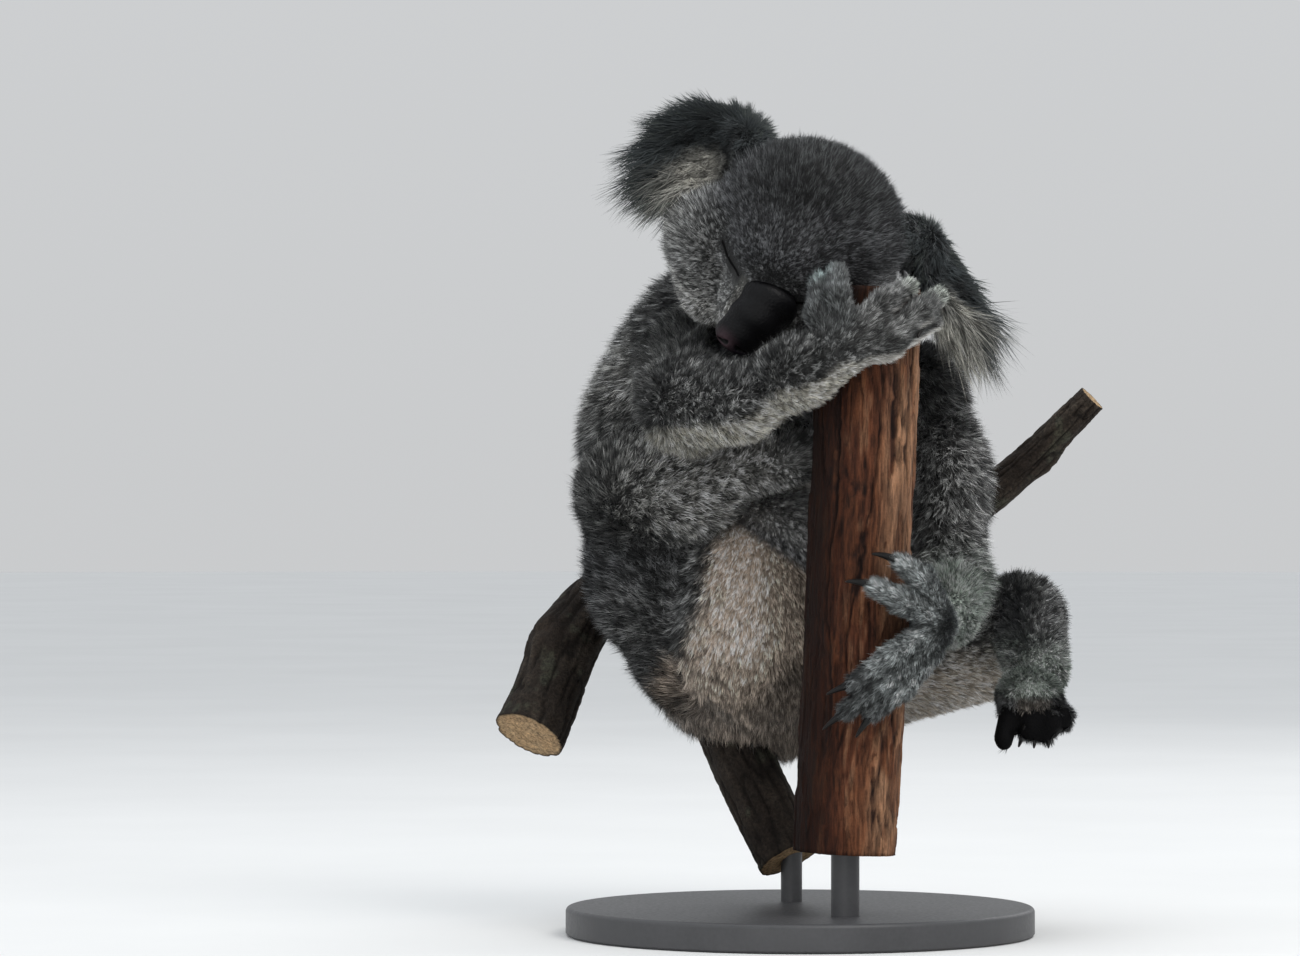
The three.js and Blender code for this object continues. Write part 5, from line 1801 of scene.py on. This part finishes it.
# =====================================================================================
# 12. The perch: a split post, a crooked branch and its stub
# =====================================================================================
def timber(name, C, R, around, relief, paint, mat, cap_rings=9, cap_paint=None, end_relief=None):
    """A length of wood swept along C. relief(points, radial, s, theta) gives millimetres added to the radius."""
    n = len(C)
    tan = unit(np.gradient(C, axis=0))
    u = np.cross(tan[0], [0.0, 1.0, 0.2])
    frames = []
    for t in tan:
        u = unit(u - t * (u @ t))
        frames.append((u, np.cross(t, u)))
    U = np.array([f[0] for f in frames])
    W = np.array([f[1] for f in frames])
    ph = np.linspace(0, 2 * np.pi, around, endpoint=False)
    rad = U[:, None] * np.cos(ph)[None, :, None] + W[:, None] * np.sin(ph)[None, :, None]
    base = C[:, None] + rad * np.asarray(R)[:, None, None]
    s = np.r_[0, np.cumsum(np.linalg.norm(np.diff(C, axis=0), axis=1))]
    S = np.repeat(s[:, None], around, 1)
    TH = np.repeat(ph[None], n, 0)
    dr, groove = relief(base.reshape(-1, 3), S.ravel(), TH.ravel(), s[-1])
    P = base.reshape(-1, 3) + rad.reshape(-1, 3) * dr[:, None]
    col = paint(P, groove, S.ravel(), TH.ravel())
    i, j = np.meshgrid(np.arange(n - 1), np.arange(around), indexing="ij")
    q = [np.stack([i * around + j, i * around + (j + 1) % around, (i + 1) * around + (j + 1) % around, (i + 1) * around + j], -1).reshape(-1, 4)]
    P, col = [P], [col]
    k = n * around
    tris = []
    for end, ring0, sign in ((0, 0, -1), (n - 1, (n - 1) * around, 1)):
        prev = np.arange(around) + ring0
        rim = P[0][prev]
        cen = rim.mean(0)
        for m in range(1, cap_rings + 1):
            f = 1 - m / (cap_rings + 0.5)
            pts = cen + (rim - cen) * f
            lift = end_relief(pts, f) if end_relief is not None else 0.35 * (fbm(pts, 3.0, 5, 2) - 0.5) + 0.18 * math.sin(f * 40)
            pts = pts + tan[end] * sign * np.asarray(lift if np.ndim(lift) else np.full(around, lift))[:, None]
            P.append(pts)
            cc = cap_paint(pts, f) if cap_paint is not None else col[0][prev if m == 1 else np.arange(around)]
            col.append(cc)
            cur = np.arange(around) + k
            jj = np.arange(around)
            a, b, c, d = prev[jj], prev[(jj + 1) % around], cur[(jj + 1) % around], cur[jj]
            q.append(np.stack([a, b, c, d] if sign > 0 else [a, d, c, b], 1))
            prev = cur
            k += around
        P.append(P[-1].mean(0)[None])
        col.append(col[-1].mean(0)[None])
        jj = np.arange(around)
        tris.append(np.stack([prev[jj], prev[(jj + 1) % around], np.full(around, k)] if sign > 0 else [prev[(jj + 1) % around], prev[jj], np.full(around, k)], 1))
        k += 1
    ob = new_mesh(name, np.vstack(P), [np.vstack(q), np.vstack(tris)], color=np.clip(np.vstack(col), 0, 1), mat=mat, attr="tint")
    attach(ob, "root")
    return ob


POST_AX = unit(POST_B - POST_A)


def post_relief(p, s, th, total):
    lean = (p - POST_A) - s[:, None] * POST_AX
    wob = np.stack([6 * (value_noise(np.stack([s * 0 + 3, s * 0, s], 1), 46.0, 30) - 0.5), 5 * (value_noise(np.stack([s * 0 + 9, s * 0, s], 1), 31.0, 29) - 0.5)], 1)
    q = np.stack([lean[:, 0] + wob[:, 0], lean[:, 1] + wob[:, 1], s * 0.14], 1)
    broad = fbm(q * np.array([1, 1, 0.6]), 15.0, 31, 2)
    fib = fbm(q * np.array([1, 1, 1.0]), 3.6, 37, 3)
    fine = fbm(q * np.array([1, 1, 1.6]), 1.7, 39, 2)
    r1 = value_noise(q * np.array([1, 1, 0.9]), 12.0, 41) + 0.10 * (fbm(p, 6.0, 42, 2) - 0.5)
    crack = np.exp(-((r1 - 0.5) / 0.028) ** 2) * smooth(fbm(q, 30, 46, 2), 0.36, 0.56)
    r2 = value_noise(q * np.array([1, 1, 1.3]) + 40, 6.5, 43) + 0.12 * (fbm(p, 4.0, 44, 2) - 0.5)
    crack2 = np.exp(-((r2 - 0.5) / 0.05) ** 2) * smooth(fbm(q, 18, 47, 2), 0.44, 0.62)
    # flakes: plates of bark lifted off the surface, their edges ragged
    pl = value_noise(q * np.array([1, 1, 1.6]) + 80, 9.0, 49) + 0.22 * (fbm(p, 5.0, 50, 3) - 0.5)
    flake = smooth(pl, 0.52, 0.56)
    end = np.exp(-((total - s) / 6.0)) * 1.6 + np.exp(-(s / 6.0)) * 0.8
    dr = -1.0 - 1.7 * crack - 1.1 * crack2 - 1.5 * (1 - broad) - 1.0 * (1 - flake) + 1.5 * (fib - 0.6) + 0.8 * (fine - 0.5) - end
    groove = np.clip(0.65 * crack + 0.5 * crack2 + 1.3 * (0.58 - fib) + 0.7 * (0.5 - fine), 0, 1)
    return dr, np.stack([groove, broad, fib, flake], 1)


def post_paint(p, g, s, th):
    red = srgb(112, 70, 50)
    tan_ = srgb(176, 138, 110)
    dark = srgb(34, 20, 16)
    lean = (p - POST_A) - s[:, None] * POST_AX
    x = lean[:, 0] + 5 * (fbm(p, 30.0, 57, 2) - 0.5)  # across the post as seen from in front
    c = mix(np.tile(red, (len(p), 1)), tan_, smooth(g[:, 2], 0.52, 0.8) * 0.6)
    c = mix(c, srgb(84, 50, 38), smooth(g[:, 1], 0.45, 0.75) * 0.6)
    c = mix(c, srgb(138, 92, 64), g[:, 3] * 0.45)
    # a paler weathered strip on the post's right side, brightened as painted light where the light falls, paler on the
    # flakes; painted shade darkens the left side, redder there
    c = mix(c, tan_ * (0.8 + 0.5 * g[:, 2:3]), smooth(x, 8, 19) * (0.35 + 0.5 * g[:, 3]) * smooth(fbm(p * np.array([1, 1, 0.3]), 9.0, 58, 2), 0.25, 0.5))
    c = c * (0.11 + 0.73 * smooth(x, -27, 7))[:, None] * (np.array([0.74, 0.58, 0.52]) + np.array([0.04, 0.16, 0.18]) * smooth(x, -24, 4)[:, None])
    # darker in the cracks and between the fibres: the wood's darker colour there, deepened as painted shade in the
    # recesses
    c = mix(c, dark, np.clip(g[:, 0] * 1.2, 0, 1))
    c = c * (1 - 0.72 * smooth(p[:, 2], 366, 392))[:, None]  # painted shadow: darker round the top, under the hand
    weather = smooth(fbm(p, 52.0, 53, 2), 0.45, 0.65)
    return mix(c, c * np.array([0.72, 0.7, 0.72]), weather * 0.6)


na, nr = ((320, 130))
t = np.linspace(0, 1, nr)[:, None]
post = timber(
    "post_wood",
    POST_A + (POST_B - POST_A) * t,
    np.full(nr, POST_R),
    na,
    post_relief,
    post_paint,
    POST,
    cap_rings=16,
    end_relief=lambda p, f: -2.2 + 2.4 * (value_noise(p * np.array([1, 1, 0.0]), 5.0, 61) - 0.2) + 1.3 * value_noise(p * np.array([1, 1, 0.0]), 1.8, 62) - 3.0 * (1 - f) * value_noise(p * np.array([1, 1, 0.0]), 14.0, 63),
    # painted shadow: the top end's cut face is coloured dark brown, as in the hand's shade
    cap_paint=lambda p, f: mix(np.tile(srgb(46, 32, 26), (len(p), 1)), srgb(24, 17, 14), smooth(value_noise(p * np.array([1, 1, 0.0]), 3.0, 64), 0.35, 0.7)),
)
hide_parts("perch_post")

KNOTS = [(0.13, 0.6, 6.5, 15), (0.33, 2.4, 4.0, 12), (0.56, 4.4, 4.5, 12), (0.795, 0.9, 6.0, 13), (0.9, 3.6, 3.2, 9)]


def bark_relief(knots, seed):
    def fn(p, s, th, total):
        q = np.stack([np.cos(th) * 20, np.sin(th) * 20, s * 0.32], 1)
        ridge = fbm(q, 9.0, seed, 3)
        wr = value_noise(q * np.array([1, 1, 0.6]) + 9, 5.0, seed + 3)
        crack = np.exp(-((wr - 0.5) / 0.06) ** 2)
        cross = np.exp(-((value_noise(np.stack([q[:, 0] * 0.3, q[:, 1] * 0.3, s], 1), 7.0, seed + 5) - 0.5) / 0.05) ** 2)
        fine = fbm(p, 3.0, seed + 9, 2)
        dr = 1.6 * (ridge - 0.55) - 1.5 * crack - 0.5 * cross + 0.8 * (fine - 0.5) - 0.5
        kn = np.zeros(len(p))
        for a, b, h, wdt in knots:
            d2 = ((s - a * total) / wdt) ** 2 + (np.angle(np.exp(1j * (th - b))) * 20 / wdt) ** 2
            dr += h * np.exp(-d2) - 0.55 * h * np.exp(-d2 * 9)
            kn += np.exp(-d2 * 2)
        return dr, np.stack([np.clip(crack + 0.35 * cross, 0, 1), ridge, fine, np.clip(kn, 0, 1)], 1)

    return fn


def bark_paint(p, g, s, th):
    c = mix(np.tile(srgb(50, 44, 39), (len(p), 1)), srgb(74, 67, 60), smooth(g[:, 1], 0.45, 0.75))
    c = mix(c, srgb(38, 32, 28), smooth(fbm(p, 38.0, 83, 2), 0.4, 0.65) * 0.6)
    lichen = smooth(fbm(p, 11.0, 87, 3), 0.6, 0.72)
    c = mix(c, srgb(80, 84, 72), lichen * 0.4)
    # darker in the cracks: the bark's darker colour there, deepened as painted shade in the recesses
    c = mix(c, srgb(24, 20, 18), np.clip(g[:, 0], 0, 1) * 0.85)
    return mix(c, srgb(56, 47, 40), g[:, 3] * 0.5)


def sawn(p, f):
    ring = 0.5 + 0.5 * math.sin(f * 46)
    return np.tile(srgb(186, 158, 122) * (0.78 + 0.22 * ring), (len(p), 1)) * (0.85 + 0.3 * fbm(p, 3.0, 91, 2))[:, None]


nb, ns, nst = ((96, 300, 110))
C = catmull(BRANCH_PATH, ns)
branch = timber("branch_wood", C, np.linspace(BRANCH_R[0], BRANCH_R[1], ns), nb, bark_relief(KNOTS, 101), bark_paint, BARK, cap_paint=sawn)
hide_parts("perch_branch_left", "perch_branch_mid", "perch_branch_right")
C = catmull(STUB_PATH, nst)
stub = timber("stub_wood", C, np.linspace(STUB_R[0], STUB_R[1], nst), nb, bark_relief([(0.6, 4.2, 3.0, 10)], 201), bark_paint, BARK, cap_paint=sawn)
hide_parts("perch_stub")
log("wood")


# =====================================================================================
# 13. The display stand
# =====================================================================================
def lathe(name, profile, centre, seg, mat, node):
    prof = np.array(profile, float)
    ph = np.linspace(0, 2 * np.pi, seg, endpoint=False)
    P = np.stack([centre[0] + prof[:, None, 0] * np.cos(ph), centre[1] + prof[:, None, 0] * np.sin(ph), np.repeat(prof[:, 1:2], seg, 1)], -1).reshape(-1, 3)
    n = len(prof)
    i, j = np.meshgrid(np.arange(n - 1), np.arange(seg), indexing="ij")
    q = np.stack([i * seg + j, i * seg + (j + 1) % seg, (i + 1) * seg + (j + 1) % seg, (i + 1) * seg + j], -1).reshape(-1, 4)
    P = np.vstack([P, [[centre[0], centre[1], prof[0, 1]]], [[centre[0], centre[1], prof[-1, 1]]]])
    j = np.arange(seg)
    t = np.concatenate([np.stack([(j + 1) % seg, j, np.full(seg, len(P) - 2)], 1), np.stack([(n - 1) * seg + j, (n - 1) * seg + (j + 1) % seg, np.full(seg, len(P) - 1)], 1)])
    ob = new_mesh(name, P, [q, t], smooth_shade=True, mat=mat)
    ob.data.set_sharp_from_angle(angle=deg(32))
    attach(ob, "root")
    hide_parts(node)
    return ob


bev = [(150 - 3 + 3 * math.sin(a), 15 + 3 * math.cos(a)) for a in np.linspace(math.pi / 2, 0, 8)]
lathe("base_disc", [(148.5, 0), (150, 1.5)] + bev, (0, 0), 192, STANDM, "stand_base")
lathe("rod_post", [(8.9, 17.6), (8.9, 58)], (26, -85), 48, RODM, "stand_rod_post")
lathe("rod_branch", [(6.9, 17.6), (6.9, 50)], (-4.4, 41), 48, RODM, "stand_rod_branch")

# =====================================================================================
# 14. Floor, light and camera
# =====================================================================================
fm = Mat("floor_pale")
v = fm.coords()
fm.to("Base Color", fm.ramp(fm.noise(v, 3.0, 3.0), (0.3, (0.735, 0.735, 0.73)), (0.7, (0.765, 0.765, 0.76))))
fm.set(Roughness=0.85, Specular_IOR_Level=0.15)
bpy.ops.mesh.primitive_circle_add(vertices=96, radius=14.0, fill_type="NGON", location=(0, 0, -0.0003))
floor = bpy.context.object
floor.name = "floor"
floor.data.materials.append(fm.m)

world = bpy.data.worlds.new("studio")
bpy.context.scene.world = world
world.use_nodes = True
bg = world.node_tree.nodes["Background"]
tc = world.node_tree.nodes.new("ShaderNodeTexCoord")
sx = world.node_tree.nodes.new("ShaderNodeSeparateXYZ")
wr = world.node_tree.nodes.new("ShaderNodeValToRGB")
world.node_tree.links.new(tc.outputs["Generated"], sx.inputs["Vector"])
world.node_tree.links.new(sx.outputs["Z"], wr.inputs["Fac"])
wr.color_ramp.elements[0].position = 0.0
wr.color_ramp.elements[0].color = (0.655, 0.665, 0.675, 1)
wr.color_ramp.elements[1].position = 0.9
wr.color_ramp.elements[1].color = (0.90, 0.94, 0.98, 1)
world.node_tree.links.new(wr.outputs["Color"], bg.inputs["Color"])
bg.inputs["Strength"].default_value = 0.9


def area(name, loc, target, size, power, color=(1, 1, 1)):
    L = bpy.data.lights.new(name, "AREA")
    L.shape = "RECTANGLE"
    L.size, L.size_y = size
    L.energy = power
    L.color = color
    ob = bpy.data.objects.new(name, L)
    bpy.context.scene.collection.objects.link(ob)
    ob.location = loc
    ob.rotation_euler = (Vector(target) - Vector(loc)).to_track_quat("-Z", "Y").to_euler()
    return ob


area("key", (1.0, -1.5, 2.1), (0, 0, 0.3), (1.3, 1.3), 30, (1.0, 0.98, 0.95))
area("sky", (-0.3, 0.2, 2.6), (0, 0, 0.2), (2.2, 2.2), 18, (0.95, 0.98, 1.0))
area("fill", (-2.0, -1.6, 1.0), (0, 0, 0.3), (1.4, 1.4), 7, (0.95, 0.98, 1.0))
area("low", (-0.4, -2.5, 0.12), (0, 0, 0.3), (1.6, 0.2), 4, (1, 0.99, 0.97))
area("back", (1.4, 2.0, 1.5), (0, 0, 0.3), (1.4, 1.4), 10, (1, 1, 1))

cam = bpy.data.cameras.new("camera")
cam.lens = 155.77
cam.sensor_width = 36.0
cam.clip_end = 60
camera = bpy.data.objects.new("camera", cam)
bpy.context.scene.collection.objects.link(camera)
camera.location = (-0.096, -3.6, 0.292)
camera.rotation_euler = (math.pi / 2, 0, 0)
bpy.context.scene.camera = camera

sc = bpy.context.scene
sc.view_settings.view_transform = "Standard"
sc.view_settings.look = "None"
sc.view_settings.exposure = 0.0
sc.view_settings.gamma = 1.0

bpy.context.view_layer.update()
total = 0
for ob in bpy.context.scene.objects:
    if ob.type == "MESH" and not ob.hide_render:
        lt = np.empty(len(ob.data.polygons), np.int32)
        ob.data.polygons.foreach_get("loop_total", lt)
        total += int((lt - 2).sum())
        log("  ", ob.name, int((lt - 2).sum()))
log("triangles in all", total)
